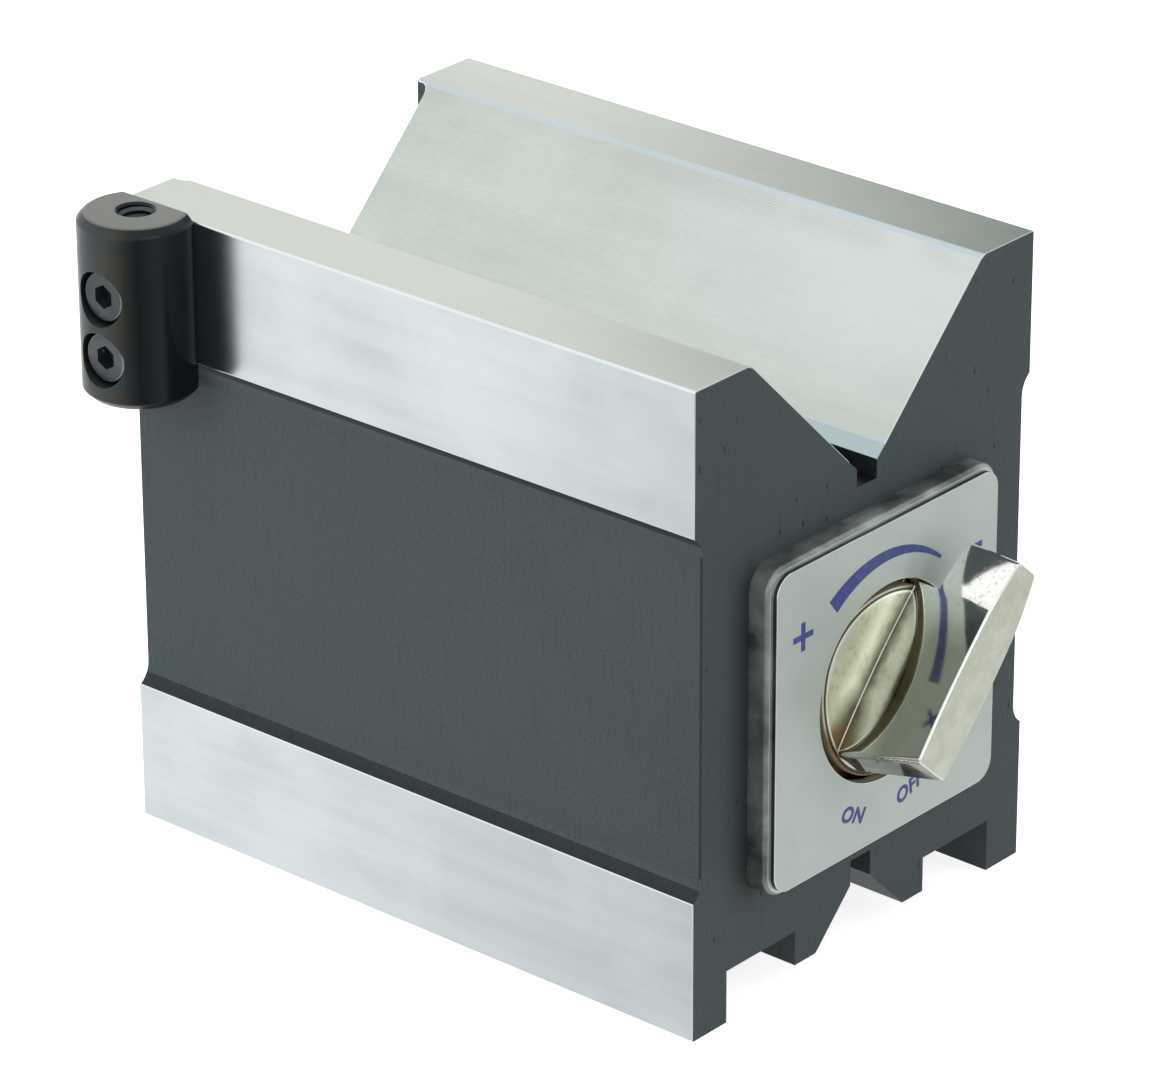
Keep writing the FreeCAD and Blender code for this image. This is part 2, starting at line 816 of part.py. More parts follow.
def drive_disc():
    """The rotor's front disc, with the square socket that takes the knob's tang."""
    length = sized("drive_disc_length")
    disc = cylinder("drive_disc_blank", rotor_radius, length, drive_start, z=bore_height)
    socket = doc.addObject("Part::Prism", "drive_disc_socket")
    socket.Polygon = 4
    flats_level = Rotation(Vector(0, 1, 0), DIMENSIONS["rest_turn"] + 45.0)
    socket.Placement = Placement(Vector(0, 0, 0), flats_level * INTO_BLOCK_FROM_FRONT)
    bind(socket, "Circumradius", sized("tang_width") / math.sqrt(2.0))
    bind(socket, "Height", sized("tang_length") + sized("tang_end_gap"))
    bind(socket, "Placement.Base.y", drive_start)
    bind(socket, "Placement.Base.z", bore_height)
    voids = screw_voids("drive_disc", rotor_corners, drive_start, length, drive_start)
    finish(boolean("Cut", "drive_disc", disc, [socket, *voids]), "drive_disc")


def rear_disc():
    """The rotor's rear disc with its journal."""
    length = sized("rear_disc_length")
    disc = cylinder("rear_disc_blank", rotor_radius, length, magnet_end, z=bore_height)
    journal_end = back_floor - sized("journal_end_gap")
    journal_length = journal_end - magnet_end
    journal = cylinder("journal", sized("journal_radius"), journal_length, magnet_end, z=bore_height)
    joined = boolean("Fuse", "rear_disc", disc, [journal])
    seat_start = rotor_end - sized("rotor_screw_head_height")
    voids = screw_voids("rear_disc", rotor_corners, magnet_end, length, seat_start)
    finish(boolean("Cut", "rear_disc", joined, list(voids)), "rear_disc")


def rotor_shoe(label, upward):
    """A soft-iron segment on one pole of the magnet, tapped for the screws of both discs."""
    levels = sorted((magnet_half * upward, rotor_radius * upward), key=lambda size: size.value)
    low, high = (bore_height + level for level in levels)
    blank = cylinder(f"{label}_blank", rotor_radius, magnet_end - magnet_start, magnet_start, z=bore_height)
    keep = box(f"{label}_keep", (-rotor_radius, magnet_start, low), (rotor_radius, magnet_end, high))
    screw_reach = sized("rotor_screw_length") + sized("rotor_screw_head_height")
    front_reach = screw_reach - sized("drive_disc_length")
    rear_reach = screw_reach - sized("rear_disc_length")
    holes = []
    for corner, x, z, corner_upward in rotor_corners:
        if corner_upward == upward:
            for reach, start in ((front_reach, magnet_start), (rear_reach, magnet_end - rear_reach)):
                name = f"{label}_{corner}_hole_{len(holes)}"
                holes.append(cylinder(name, sized("rotor_screw_radius"), reach, start, x, z))
    finish(boolean("Cut", label, boolean("Common", label, blank, [keep]), holes), label)


drive_disc()
rear_disc()
rotor_shoe("lower_rotor_shoe", -1)
rotor_shoe("upper_rotor_shoe", 1)
finish(box("magnet", (-magnet_half_width, magnet_start, bore_height - magnet_half),
           (magnet_half_width, magnet_end, bore_height + magnet_half)), "magnet_bar")
for corner, x, z, _ in rotor_corners:
    socket_screw(f"drive_screw_{corner}", "rotor", (x, drive_start, z), INTO_BLOCK_FROM_FRONT)
    socket_screw(f"rear_screw_{corner}", "rotor", (x, rotor_end, z), INTO_BLOCK_FROM_BACK)

post_base = top + sized("post_rise") - sized("post_height")
post_y = length_half - sized("post_end_inset")
post_screws = [(name, sized("post_lower_screw_height") + sized("post_screw_pitch") * number)
               for number, name in enumerate(("post_screw_lower", "post_screw_upper"))]


def post_holder():
    """The round holder for the clamp's post, with its flat against the side of the block."""
    body = new_body("post_holder")
    radius = sized("post_radius")
    height = sized("post_height")
    bevel = sized("post_bevel")
    turned = sketch_on(body, "XZ_Plane")
    outline(turned, [
        (0.0, 0.0), (radius - bevel, 0.0), (radius, bevel),
        (radius, height - bevel), (radius - bevel, height), (0.0, height),
    ])
    revolve(body, turned)

    flat = sketch_on(body, "YZ_Plane", sized("post_flat"))
    above = height + overrun
    outline(flat, [(-radius, -overrun), (radius, -overrun), (radius, above), (-radius, above)])
    pocket(body, flat, radius, away=True)

    thread = sketch_on(body, "XY_Plane", height)
    circle(thread, 0.0, 0.0, sized("arm_thread_radius"))
    pocket(body, thread, sized("arm_thread_depth"))

    seat_radius = sized("post_screw_head_radius") + sized("post_seat_gap")
    hole_radius = sized("post_screw_radius") + sized("post_hole_gap")
    for hole, away in ((seat_radius, False), (hole_radius, True)):
        holes = sketch_on(body, "YZ_Plane", -sized("post_seat_reach"))
        for _, level in post_screws:
            circle(holes, 0.0, level, hole)
        pocket(body, holes, radius * 2, away=away)
    bind(body, "Placement.Base.x", -width_half - sized("post_flat"))
    bind(body, "Placement.Base.y", post_y)
    bind(body, "Placement.Base.z", post_base)


post_holder()

holder_wall = sized("post_flat") + sized("post_seat_reach")
tapped = sketch_on(left_pole, "YZ_Plane", -width_half)
for _, level in post_screws:
    circle(tapped, post_y, post_base + level, sized("post_screw_radius"))
pocket(left_pole, tapped, sized("post_screw_length") - holder_wall, away=True)

post_head_face = -width_half - holder_wall - sized("post_screw_head_height")
for name, level in post_screws:
    socket_screw(name, "post", (post_head_face, post_y, post_base + level), INTO_BLOCK_FROM_LEFT)

doc.recompute()

broken = [each.Name for each in doc.Objects if {"Invalid", "Error"} & set(each.State)]
loose = [each.Name for each in doc.Objects
         if each.TypeId == "Sketcher::SketchObject" and not each.FullyConstrained]
if broken or loose:
    raise RuntimeError(f"failed objects: {broken}, loose sketches: {loose}")

os.makedirs("parts", exist_ok=True)
for part in parts:
    shape = part.Shape
    if shape.isNull() or not shape.isValid() or len(shape.Solids) != 1:
        raise RuntimeError(f"{part.Label} is not one valid solid")
    shape.exportStep(f"parts/{part.Label}.step")
    print(f"{part.Label}: {shape.Volume:.1f} mm3")
print(f"{len(parts)} parts")
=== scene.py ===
# %% [markdown]
# # A magnetic V block
# A heavy steel block holds round work in the V on its top while a magnet inside grips it.
# The knob on the front turns the magnet.
# The solids come from CAD at their real size, in metres, with X across the block, Y along it and Z up.
# This lesson gives them their surfaces: cast paint, ground steel, nickel, black oxide and a printed label.

# %% Load the frame
import math

import bmesh
import bpy
from mathutils import Matrix, Vector


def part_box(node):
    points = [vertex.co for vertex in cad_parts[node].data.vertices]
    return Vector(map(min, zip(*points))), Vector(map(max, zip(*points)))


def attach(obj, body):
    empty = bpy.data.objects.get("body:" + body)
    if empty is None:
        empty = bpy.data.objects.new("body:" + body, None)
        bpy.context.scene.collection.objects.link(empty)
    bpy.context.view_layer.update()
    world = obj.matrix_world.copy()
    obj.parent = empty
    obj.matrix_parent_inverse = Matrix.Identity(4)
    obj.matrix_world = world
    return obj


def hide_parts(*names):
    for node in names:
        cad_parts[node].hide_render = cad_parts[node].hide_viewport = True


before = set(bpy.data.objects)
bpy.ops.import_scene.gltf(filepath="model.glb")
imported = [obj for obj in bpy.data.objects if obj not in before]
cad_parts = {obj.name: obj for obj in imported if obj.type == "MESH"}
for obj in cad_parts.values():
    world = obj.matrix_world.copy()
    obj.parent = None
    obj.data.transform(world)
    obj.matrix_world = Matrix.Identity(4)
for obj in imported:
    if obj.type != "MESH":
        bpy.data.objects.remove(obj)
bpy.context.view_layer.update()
scene = bpy.context.scene
scene.view_settings.view_transform = "Standard"
MM = 0.001

# %% [markdown]
# The camera stands about 0.9 m away with a long lens, as a product photographer does, so that the block's
# edges stay nearly parallel.
# Its direction, roll and focal length were worked out from the block's corners in the photograph.

# %% Set up the camera
PICTURE_WIDTH = 1160
FOCAL_PIXELS = 6335.4
CAMERA_PLACE = Vector((-591.1616, -512.659, 410.3175)) * MM
AZIMUTH, ELEVATION, ROLL = (math.radians(angle) for angle in (-49.1026, 25.0195, -0.2348))

toward_camera = Vector((math.sin(AZIMUTH) * math.cos(ELEVATION),
                        -math.cos(AZIMUTH) * math.cos(ELEVATION),
                        math.sin(ELEVATION)))
level_right = Vector((math.cos(AZIMUTH), math.sin(AZIMUTH), 0.0))
level_up = toward_camera.cross(level_right)
picture_right = level_right * math.cos(ROLL) + level_up * math.sin(ROLL)
picture_up = level_up * math.cos(ROLL) - level_right * math.sin(ROLL)

camera = bpy.data.objects.new("camera", bpy.data.cameras.new("camera"))
scene.collection.objects.link(camera)
scene.camera = camera
camera.data.sensor_fit = "HORIZONTAL"
camera.data.lens = FOCAL_PIXELS / PICTURE_WIDTH * camera.data.sensor_width
axes = Matrix((picture_right, picture_up, toward_camera)).transposed().to_4x4()
camera.matrix_world = Matrix.Translation(CAMERA_PLACE) @ axes
print("lens:", round(camera.data.lens, 1), "mm")

# %% [markdown]
# A few small helpers keep node trees readable. Each makes one node and fills its inputs with numbers,
# colours or links from other nodes.


# %% Define the node helpers
def fill_inputs(tree, node, inputs):
    """Give each named input its value, or a link where the value is another node's socket."""
    for name, value in inputs.items():
        if isinstance(value, bpy.types.NodeSocket):
            tree.links.new(value, node.inputs[name])
        else:
            node.inputs[name].default_value = value


def add_node(tree, kind, inputs=None, **properties):
    """One shader node with its properties set and its inputs filled."""
    made = tree.nodes.new(kind)
    for name, value in properties.items():
        setattr(made, name, value)
    fill_inputs(tree, made, inputs or {})
    return made


def math_node(tree, operation, first, second=0.0):
    """The result of one step of arithmetic."""
    return add_node(tree, "ShaderNodeMath", {0: first, 1: second}, operation=operation).outputs[0]


def product(tree, first, *others):
    """The values multiplied, one after the other."""
    for other in others:
        first = math_node(tree, "MULTIPLY", first, other)
    return first


def remap(tree, value, low, high, to_low=0.0, to_high=1.0):
    """Map Range: what goes from low to high comes out from to_low to to_high, and never outside them."""
    return add_node(tree, "ShaderNodeMapRange", {
        "Value": value, "From Min": low, "From Max": high, "To Min": to_low, "To Max": to_high,
    }).outputs["Result"]


def blend_levels(tree, factor, first, second):
    """A Mix node between two numbers."""
    return add_node(tree, "ShaderNodeMix", {0: factor, 2: first, 3: second}).outputs[0]


# %% Define the colour helpers
def linear(screen):
    """A screen colour, three numbers from 0 to 255, as the linear colour that Blender's sockets hold."""
    parts = []
    for part in screen:
        share = part / 255
        parts.append(share / 12.92 if share <= 0.04045 else ((share + 0.055) / 1.055) ** 2.4)
    return (*parts, 1.0)


def blend_colours(tree, factor, first, second):
    """A Mix node between two colours. Each is a screen colour or the socket of another blend."""
    inputs = {0: factor}
    for place, value in ((6, first), (7, second)):
        inputs[place] = value if isinstance(value, bpy.types.NodeSocket) else linear(value)
    return add_node(tree, "ShaderNodeMix", inputs, data_type="RGBA").outputs[2]


print("paint grey as linear light:", [round(part, 3) for part in linear((72, 78, 81))])


# %% Define the helpers for places
def object_place(tree):
    """Where a spot lies on its object, in metres."""
    return add_node(tree, "ShaderNodeTexCoord").outputs["Object"]


def coordinates(tree, place):
    """The X, Y and Z of a place."""
    return add_node(tree, "ShaderNodeSeparateXYZ", {"Vector": place}).outputs


def vector_math(tree, operation, first, second=(0.0, 0.0, 0.0)):
    """One step with vectors. A distance, a length or a dot product is a number, the rest are vectors."""
    made = add_node(tree, "ShaderNodeVectorMath", {0: first, 1: second}, operation=operation)
    return made.outputs["Value" if operation in ("DISTANCE", "LENGTH", "DOT_PRODUCT") else "Vector"]


# %% [markdown]
# The floor is pale and plain. Where the camera looks at it, a little light of its own lifts it to white,
# and the shadow under the block still shows.
# Metal shows the room around it, so mirrors see the floor bright behind the block and grey in front, with
# two darker spots on the camera's side.


# %% Make the floor
FLOOR_SIDE, FLOOR_LIFT = 6.0, 0.8
# Each dark spot has its middle, the radius where it starts to fade, the radius where it ends, and its level.
DARK_SPOTS = (((-0.23, -0.08, 0.0), 0.04, 0.2, 0.25), ((-0.155, -0.055, 0.0), 0.03, 0.085, 0.6))


def plain_material(name):
    """A new material with its node tree and its Principled BSDF."""
    material = bpy.data.materials.new(name)
    material.use_nodes = True
    return material, material.node_tree, material.node_tree.nodes["Principled BSDF"]


def flat_square(name, side, material, seat):
    """A flat square of the studio, turned and moved by its seat."""
    shape = bmesh.new()
    bmesh.ops.create_grid(shape, x_segments=1, y_segments=1, size=side / 2)
    bmesh.ops.transform(shape, matrix=seat, verts=shape.verts)
    mesh = bpy.data.meshes.new(name)
    shape.to_mesh(mesh)
    shape.free()
    mesh.materials.append(material)
    square = bpy.data.objects.new(name, mesh)
    scene.collection.objects.link(square)
    return square


def mirrored_floor_level(tree):
    """How bright a mirror sees the floor."""
    place = object_place(tree)
    level = remap(tree, coordinates(tree, place)["Y"], -0.14, 0.06, 0.74, 1.2)
    for middle, inner, outer, darkest in DARK_SPOTS:
        away = vector_math(tree, "DISTANCE", place, middle)
        level = product(tree, level, remap(tree, away, inner, outer, darkest, 1.0))
    return level


def make_floor():
    material, tree, shader = plain_material("pale_floor")
    fill_inputs(tree, shader, {
        "Base Color": (0.8, 0.8, 0.8, 1.0), "Roughness": 0.9, "Specular IOR Level": 0.0,
    })
    path = add_node(tree, "ShaderNodeLightPath").outputs
    lift = add_node(tree, "ShaderNodeEmission", {
        "Strength": product(tree, path["Is Camera Ray"], FLOOR_LIFT),
    })
    lifted = add_node(tree, "ShaderNodeAddShader", {0: shader.outputs[0], 1: lift.outputs[0]})
    mirrored = add_node(tree, "ShaderNodeEmission", {"Strength": mirrored_floor_level(tree)})
    mixed = add_node(tree, "ShaderNodeMixShader", {
        0: path["Is Glossy Ray"], 1: lifted.outputs[0], 2: mirrored.outputs[0],
    })
    fill_inputs(tree, tree.nodes["Material Output"], {"Surface": mixed.outputs[0]})
    floor = flat_square("floor", FLOOR_SIDE, material, Matrix.Identity(4))


make_floor()
print("floor made")

# %% [markdown]
# The sky is the white studio. The camera sees it plain white, and mirrors see it a little greyer toward the
# front, where the camera and the photographer stand. It lights the block more gently than it looks.


# %% Make the sky
SKY_LIGHT = 0.45


def make_sky():
    world = bpy.data.worlds.new("studio")
    scene.world = world
    world.use_nodes = True
    tree = world.node_tree
    path = add_node(tree, "ShaderNodeLightPath").outputs
    toward = add_node(tree, "ShaderNodeTexCoord").outputs["Generated"]
    room = remap(tree, coordinates(tree, toward)["Y"], -0.95, 0.3, 0.7, 1.2)
    lighting = product(tree, room, SKY_LIGHT)
    mirrored = blend_levels(tree, path["Is Glossy Ray"], lighting, room)
    level = blend_levels(tree, path["Is Camera Ray"], mirrored, 1.0)
    fill_inputs(tree, tree.nodes["Background"], {"Color": (1.0, 1.0, 1.0, 1.0), "Strength": level})


make_sky()
print("sky made")

# %% [markdown]
# Two big soft boxes light the block, one on its left and one above it. A weaker one on the front right keeps
# the front from sinking into shade. None of the three shows in the metal.
# Only the small knob box does: it draws the bright lines on the knob's polished edges.


# %% Hang the lights
BLOCK_MIDDLE = Vector((0.0, 0.0, 0.05))
# Each box has its name, its place and its side in metres, its power, and whether metal mirrors it.
SOFT_BOXES = (
    ("left_box", (-1.2, 0.25, 0.6), 0.9, 9.5, False),
    ("top_box", (0.1, 0.1, 1.5), 1.2, 12.0, False),
    ("front_box", (0.75, -1.05, 0.5), 0.8, 5.0, False),
    ("knob_box", (-0.33, -0.9, 0.56), 0.6, 1.2, True),
)


def soft_box(name, place, side, power, mirrored):
    """A square area light aimed at the middle of the block."""
    light = bpy.data.objects.new(name, bpy.data.lights.new(name, "AREA"))
    scene.collection.objects.link(light)
    light.data.shape = "SQUARE"
    light.data.size = side
    light.data.energy = power
    light.location = place
    light.visible_glossy = mirrored
    aim = BLOCK_MIDDLE - Vector(place)
    light.rotation_euler = aim.to_track_quat("-Z", "Y").to_euler()


for box in SOFT_BOXES:
    soft_box(*box)

# %% [markdown]
# A grey card stands behind the block, as in a studio. Only mirrors see it, and it shades the near ends of the
# ground lands on top. Its edge fades out, so that no hard outline shows in the steel.


# %% Stand the grey card
CARD_PLACE = Vector((0.225, 0.045, 0.2))
CARD_LOOKS = Vector((-0.742, -0.553, -0.379))
CARD_SIDE, CARD_LIGHT, CARD_TINT = 0.24, 0.34, (0.92, 1.05, 1.02, 1.0)


def stand_card():
    material, tree, _ = plain_material("grey_card")
    away = vector_math(tree, "DISTANCE", object_place(tree), CARD_PLACE)
    solid = remap(tree, away, CARD_SIDE * 0.15, CARD_SIDE * 0.5, 1.0, 0.0)
    clear = add_node(tree, "ShaderNodeBsdfTransparent")
    grey = add_node(tree, "ShaderNodeEmission", {"Color": CARD_TINT, "Strength": CARD_LIGHT})
    faded = add_node(tree, "ShaderNodeMixShader", {0: solid, 1: clear.outputs[0], 2: grey.outputs[0]})
    fill_inputs(tree, tree.nodes["Material Output"], {"Surface": faded.outputs[0]})
    turn = CARD_LOOKS.to_track_quat("Z", "Y").to_matrix().to_4x4()
    card = flat_square("grey_card", CARD_SIDE, material, Matrix.Translation(CARD_PLACE) @ turn)
    card.visible_camera = False
    card.visible_diffuse = False
    card.visible_shadow = False


stand_card()
print("card stands at", tuple(round(value, 3) for value in CARD_PLACE))

# %% [markdown]
# Three effects are used in several finishes, so each is a node group, built once.
# Grinding leaves fine lines along the block, casting leaves a pebbled skin, and handling leaves
# soft smudges.
# A texture turns into lines when its place is stretched much more across them than along them.


# %% Define the texture helpers
def noise(tree, place, scale=1.0, detail=2.0, roughness=0.5, distortion=0.0):
    """A noise texture, a pattern of soft spots around 0.5. A larger scale makes it finer."""
    return add_node(tree, "ShaderNodeTexNoise", {
        "Vector": place, "Scale": scale, "Detail": detail, "Roughness": roughness, "Distortion": distortion,
    }).outputs["Fac"]


def stretched(tree, place, scale, rotation=(0.0, 0.0, 0.0)):
    """A place multiplied along each axis, and then turned by these angles in radians."""
    return add_node(tree, "ShaderNodeMapping", {
        "Vector": place, "Scale": scale, "Rotation": rotation,
    }).outputs["Vector"]


def new_group(name, inputs, outputs):
    """An empty group with named number sockets. What comes back is the group, its inputs and its end node."""
    group = bpy.data.node_groups.new(name, "ShaderNodeTree")
    for way, labels in (("INPUT", inputs), ("OUTPUT", outputs)):
        for label in labels:
            group.interface.new_socket(label, in_out=way, socket_type="NodeSocketFloat")
    return group, group.nodes.new("NodeGroupInput").outputs, group.nodes.new("NodeGroupOutput")


# %% Build the shared node groups
LINES_PER_METRE = 3400.0
PIT_CELLS_PER_METRE, PIT_SHARE = 620.0, 0.14


def ground_lines_group():
    """Fine lines along Y, as a surface grinder leaves them, and slow changes of tone along them."""
    group, given, result = new_group("ground_lines", ("Run",), ("Lines", "Tone"))
    place = object_place(group)
    stretch = add_node(group, "ShaderNodeCombineXYZ", {
        "X": LINES_PER_METRE, "Y": given["Run"], "Z": LINES_PER_METRE,
    })
    fine = vector_math(group, "MULTIPLY", place, stretch.outputs[0])
    slow = stretched(group, place, (260.0, 18.0, 260.0))
    fill_inputs(group, result, {
        "Lines": noise(group, fine, detail=3.0, roughness=0.6), "Tone": noise(group, slow),
    })
    return group


def cast_skin_group():
    """The pebbled skin of paint on a casting, with a small pit in a few of its cells."""
    group, given, result = new_group("cast_skin", ("Grain", "Pits"), ("Height", "Pit", "Tone"))
    place = object_place(group)
    pebble = noise(group, place, given["Grain"], 3.0, 0.55)
    tall = stretched(group, place, (1.0, 1.0, 0.5))
    cells = add_node(group, "ShaderNodeTexVoronoi", {"Vector": tall, "Scale": PIT_CELLS_PER_METRE}).outputs
    near_middle = remap(group, cells["Distance"], 0.10, 0.20, 1.0, 0.0)
    chance = add_node(group, "ShaderNodeSeparateColor", {"Color": cells["Color"]}).outputs[0]
    chosen = math_node(group, "GREATER_THAN", chance, 1.0 - PIT_SHARE)
    pit = product(group, near_middle, chosen)
    deep = product(group, pit, given["Pits"])
    fill_inputs(group, result, {
        "Height": math_node(group, "SUBTRACT", pebble, deep), "Pit": pit, "Tone": noise(group, place, 55.0),
    })
    return group


def smudges_group():
    """Soft marks of handling, and a few short scratches."""
    group, given, result = new_group("smudges", ("Size",), ("Smudge", "Scratch"))
    place = object_place(group)
    soft = noise(group, place, given["Size"], 4.0, 0.6, 0.3)
    streaks = noise(group, stretched(group, place, (1500.0, 90.0, 1500.0), (0.4, 0.7, 0.9)), detail=1.0)
    thin = remap(group, streaks, 0.66, 0.72)
    patches = remap(group, soft, 0.52, 0.62)
    fill_inputs(group, result, {"Smudge": soft, "Scratch": product(group, thin, patches)})
    return group


ground_lines = ground_lines_group()
cast_skin = cast_skin_group()
smudges = smudges_group()
print("groups:", [group.name for group in bpy.data.node_groups])

# %% [markdown]
# A finish is built up as a painter does it: a base in two tones, then thin layers over it, and each layer
# shows where its factor lets it.


# %% Define how finishes are mixed
def place_group(tree, group, **values):
    """The outputs of one use of a node group, with its own values."""
    return add_node(tree, "ShaderNodeGroup", values, node_tree=group).outputs


def uneven(tree, pattern, low, high):
    """A level that drifts between low and high with a pattern around 0.5."""
    return remap(tree, pattern, 0.3, 0.7, low, high)


def bump(tree, height, strength, distance):
    """The normal of a surface with this height on it. The distance is the full height in mm."""
    return add_node(tree, "ShaderNodeBump", {
        "Height": height, "Strength": strength, "Distance": distance * MM,
    }).outputs["Normal"]


def layered(tree, base, *layers):
    """Colours laid over a base, one after the other. Each layer is a factor and a colour."""
    for factor, tint in layers:
        base = blend_colours(tree, factor, base, tint)
    return base


def lay_over(material, factor, tint):
    """Lay one more colour over a material that is already finished."""
    tree = material.node_tree
    base = tree.nodes["Principled BSDF"].inputs["Base Color"]
    tree.links.new(blend_colours(tree, factor, base.links[0].from_socket, tint), base)


# %% [markdown]
# Cast paint is nearly flat in colour. What makes it look real is the pebbled skin: a bump about half a
# millimetre across, with a pit here and there.


# %% Mix the paint
def paint_material(name, low, high):
    material, tree, shader = plain_material(name)
    place = object_place(tree)
    skin = place_group(tree, cast_skin, Grain=1800.0, Pits=0.6)
    grain = noise(tree, place, 3000.0)
    specks = remap(tree, grain, 0.46, 0.34, 0.0, 0.36)
    glints = remap(tree, grain, 0.56, 0.68, 0.0, 0.12)
    runs = remap(tree, noise(tree, stretched(tree, place, (1500.0, 1500.0, 110.0))), 0.6, 0.8, 0.0, 0.4)
    base = blend_colours(tree, skin["Tone"], low, high)
    fill_inputs(tree, shader, {
        "Base Color": layered(tree, base, (specks, (34, 41, 44)), (glints, (92, 104, 106)),
                              (runs, (36, 41, 44)), (skin["Pit"], (30, 34, 38))),
        "Roughness": uneven(tree, skin["Tone"], 0.5, 0.6),
        "Specular IOR Level": 0.3,
        "Normal": bump(tree, skin["Height"], 0.95, 0.12),
    })
    return material


def add_bezel_shade(material):
    """Darken the front's paint along the bezel's left side, as painted shade beside the bezel."""
    low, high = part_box("front_bezel")
    tree = material.node_tree
    where = coordinates(tree, object_place(tree))
    painted_shade = remap(tree, where["X"], low.x - 5 * MM, low.x, 0.0, 0.58)
    limits = (("X", low.x + 1 * MM, low.x + 2 * MM), ("Y", -49.9 * MM, -49.7 * MM),
              ("Z", low.z + 2 * MM, low.z - 3 * MM), ("Z", high.z - 2 * MM, high.z + 3 * MM))
    for axis, full, gone in limits:
        painted_shade = product(tree, painted_shade, remap(tree, where[axis], full, gone, 1.0, 0.0))
    # Painted shade: a dark colour laid over the paint to the left of the bezel.
    lay_over(material, painted_shade, (12, 14, 14))


paint = paint_material("dark_grey_paint", (52, 62, 65), (64, 74, 77))
add_bezel_shade(paint)
# A darker copy of the paint: painted shade for the corners of the side hollows, the walls of the middle slot
# and the hollow's upright corner.
shaded_paint = paint_material("shaded_paint", (22, 30, 35), (30, 38, 43))
print("paint ready:", paint.name, shaded_paint.name)

# %% [markdown]
# Ground steel mirrors the room through thousands of fine lines. It is metal with a middling roughness,
# its tone drifts slowly along the lines, and the lines show as a faint change of height.


# %% Grind the steel
def steel_material(name, low, high, rough, run=45.0, fineness=0.15):
    """Ground steel: a smaller run makes longer lines, and fineness is how much they show as tone."""
    material, tree, shader = plain_material(name)
    grain = place_group(tree, ground_lines, Run=run)
    smudge = place_group(tree, smudges, Size=36.0)["Smudge"]
    tone = blend_colours(tree, grain["Tone"], low, high)
    clouds = remap(tree, smudge, 0.42, 0.62, 0.0, 0.7)
    lines = remap(tree, grain["Lines"], 0.35, 0.65, 0.0, fineness)
    fill_inputs(tree, shader, {
        "Base Color": layered(tree, tone, (clouds, high), (lines, low)),
        "Metallic": 1.0,
        "Roughness": uneven(tree, smudge, rough - 0.02, rough + 0.03),
        "Normal": bump(tree, grain["Lines"], 0.35, 0.005),
    })
    return material


def add_chatter(material):
    """A colour that grows lighter toward the front, partway up the V's slopes, and patches of even cutter
    marks high on them.
    """
    tree = material.node_tree
    place = object_place(tree)
    where = coordinates(tree, place)
    near_front = product(tree, remap(tree, where["Y"], 0.01, -0.04, 0.0, 0.65),
                         remap(tree, where["Z"], 0.074, 0.086))
    lay_over(material, near_front, (205, 212, 211))
    waves = add_node(tree, "ShaderNodeTexWave", {"Vector": place, "Scale": 1200.0}, bands_direction="Z")
    high_up = remap(tree, where["Z"], 0.0892, 0.0912, 0.0, 0.3)
    patches = remap(tree, noise(tree, place, 60.0), 0.42, 0.58, 0.1, 1.0)
    lay_over(material, product(tree, waves.outputs["Fac"], high_up, patches), (140, 148, 146))


side_steel = steel_material("side_steel", (180, 191, 192), (215, 221, 224), 0.2)
top_steel = steel_material("top_steel", (180, 185, 178), (195, 199, 192), 0.25, 320.0, 0.25)
vee_steel = steel_material("vee_steel", (173, 182, 175), (197, 204, 199), 0.26, 700.0, 0.3)
add_chatter(vee_steel)
# Bluish steel for the band at the V's root and the chamfers along the V's top edges: a painted reflection of
# the sky.
root_reflection_steel = steel_material("root_reflection_steel", (160, 177, 181), (172, 188, 191), 0.3)
chamfer_reflection_steel = steel_material("chamfer_reflection_steel", (176, 190, 194), (188, 201, 205), 0.22)
# Lighter steel for the broken ground edges and the outer chamfers: a painted highlight.
bright_edge = steel_material("bright_edge", (206, 213, 216), (222, 227, 229), 0.2)
print("steel ready:", [each.name for each in bpy.data.materials if "steel" in each.name])

# %% [markdown]
# The CAD meshes are loose triangles. A copy is merged and its flat triangles joined, so that its sharp
# edges can be found and broken by a small bevel, as every real edge is.


# %% Define how a solid is dressed
SAME_PLACE, NEARLY_FLAT = 0.001 * MM, math.radians(0.4)


def merged_copy(node):
    """A copy of a CAD node with its loose triangles joined into whole faces."""
    shape = bmesh.new()
    shape.from_mesh(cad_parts[node].data)
    bmesh.ops.remove_doubles(shape, verts=shape.verts, dist=SAME_PLACE)
    bmesh.ops.dissolve_limit(shape, angle_limit=NEARLY_FLAT, verts=shape.verts, edges=shape.edges)
    bmesh.ops.recalc_face_normals(shape, faces=shape.faces)
    return shape


def sort_faces(shape, finish_of):
    """Give each face the number of its finish."""
    for face in shape.faces:
        face.material_index = finish_of(face)


def sharp_edges(shape, wanted=lambda edge: True, least=28.0):
    """The wanted edges where two faces meet at more than this angle in degrees."""
    return [edge for edge in shape.edges
            if edge.is_manifold and edge.calc_face_angle(0.0) > math.radians(least) and wanted(edge)]


def break_edges(shape, edges, width, segments=2, finish=None):
    """Bevel these edges by a width in mm. The new faces match their neighbours, or have this finish."""
    made = bmesh.ops.bevel(shape, geom=edges, offset=width * MM, offset_type="OFFSET", affect="EDGES",
                           segments=segments, profile=0.5, material=-1, clamp_overlap=False)
    if finish is not None:
        for face in made["faces"]:
            face.material_index = finish


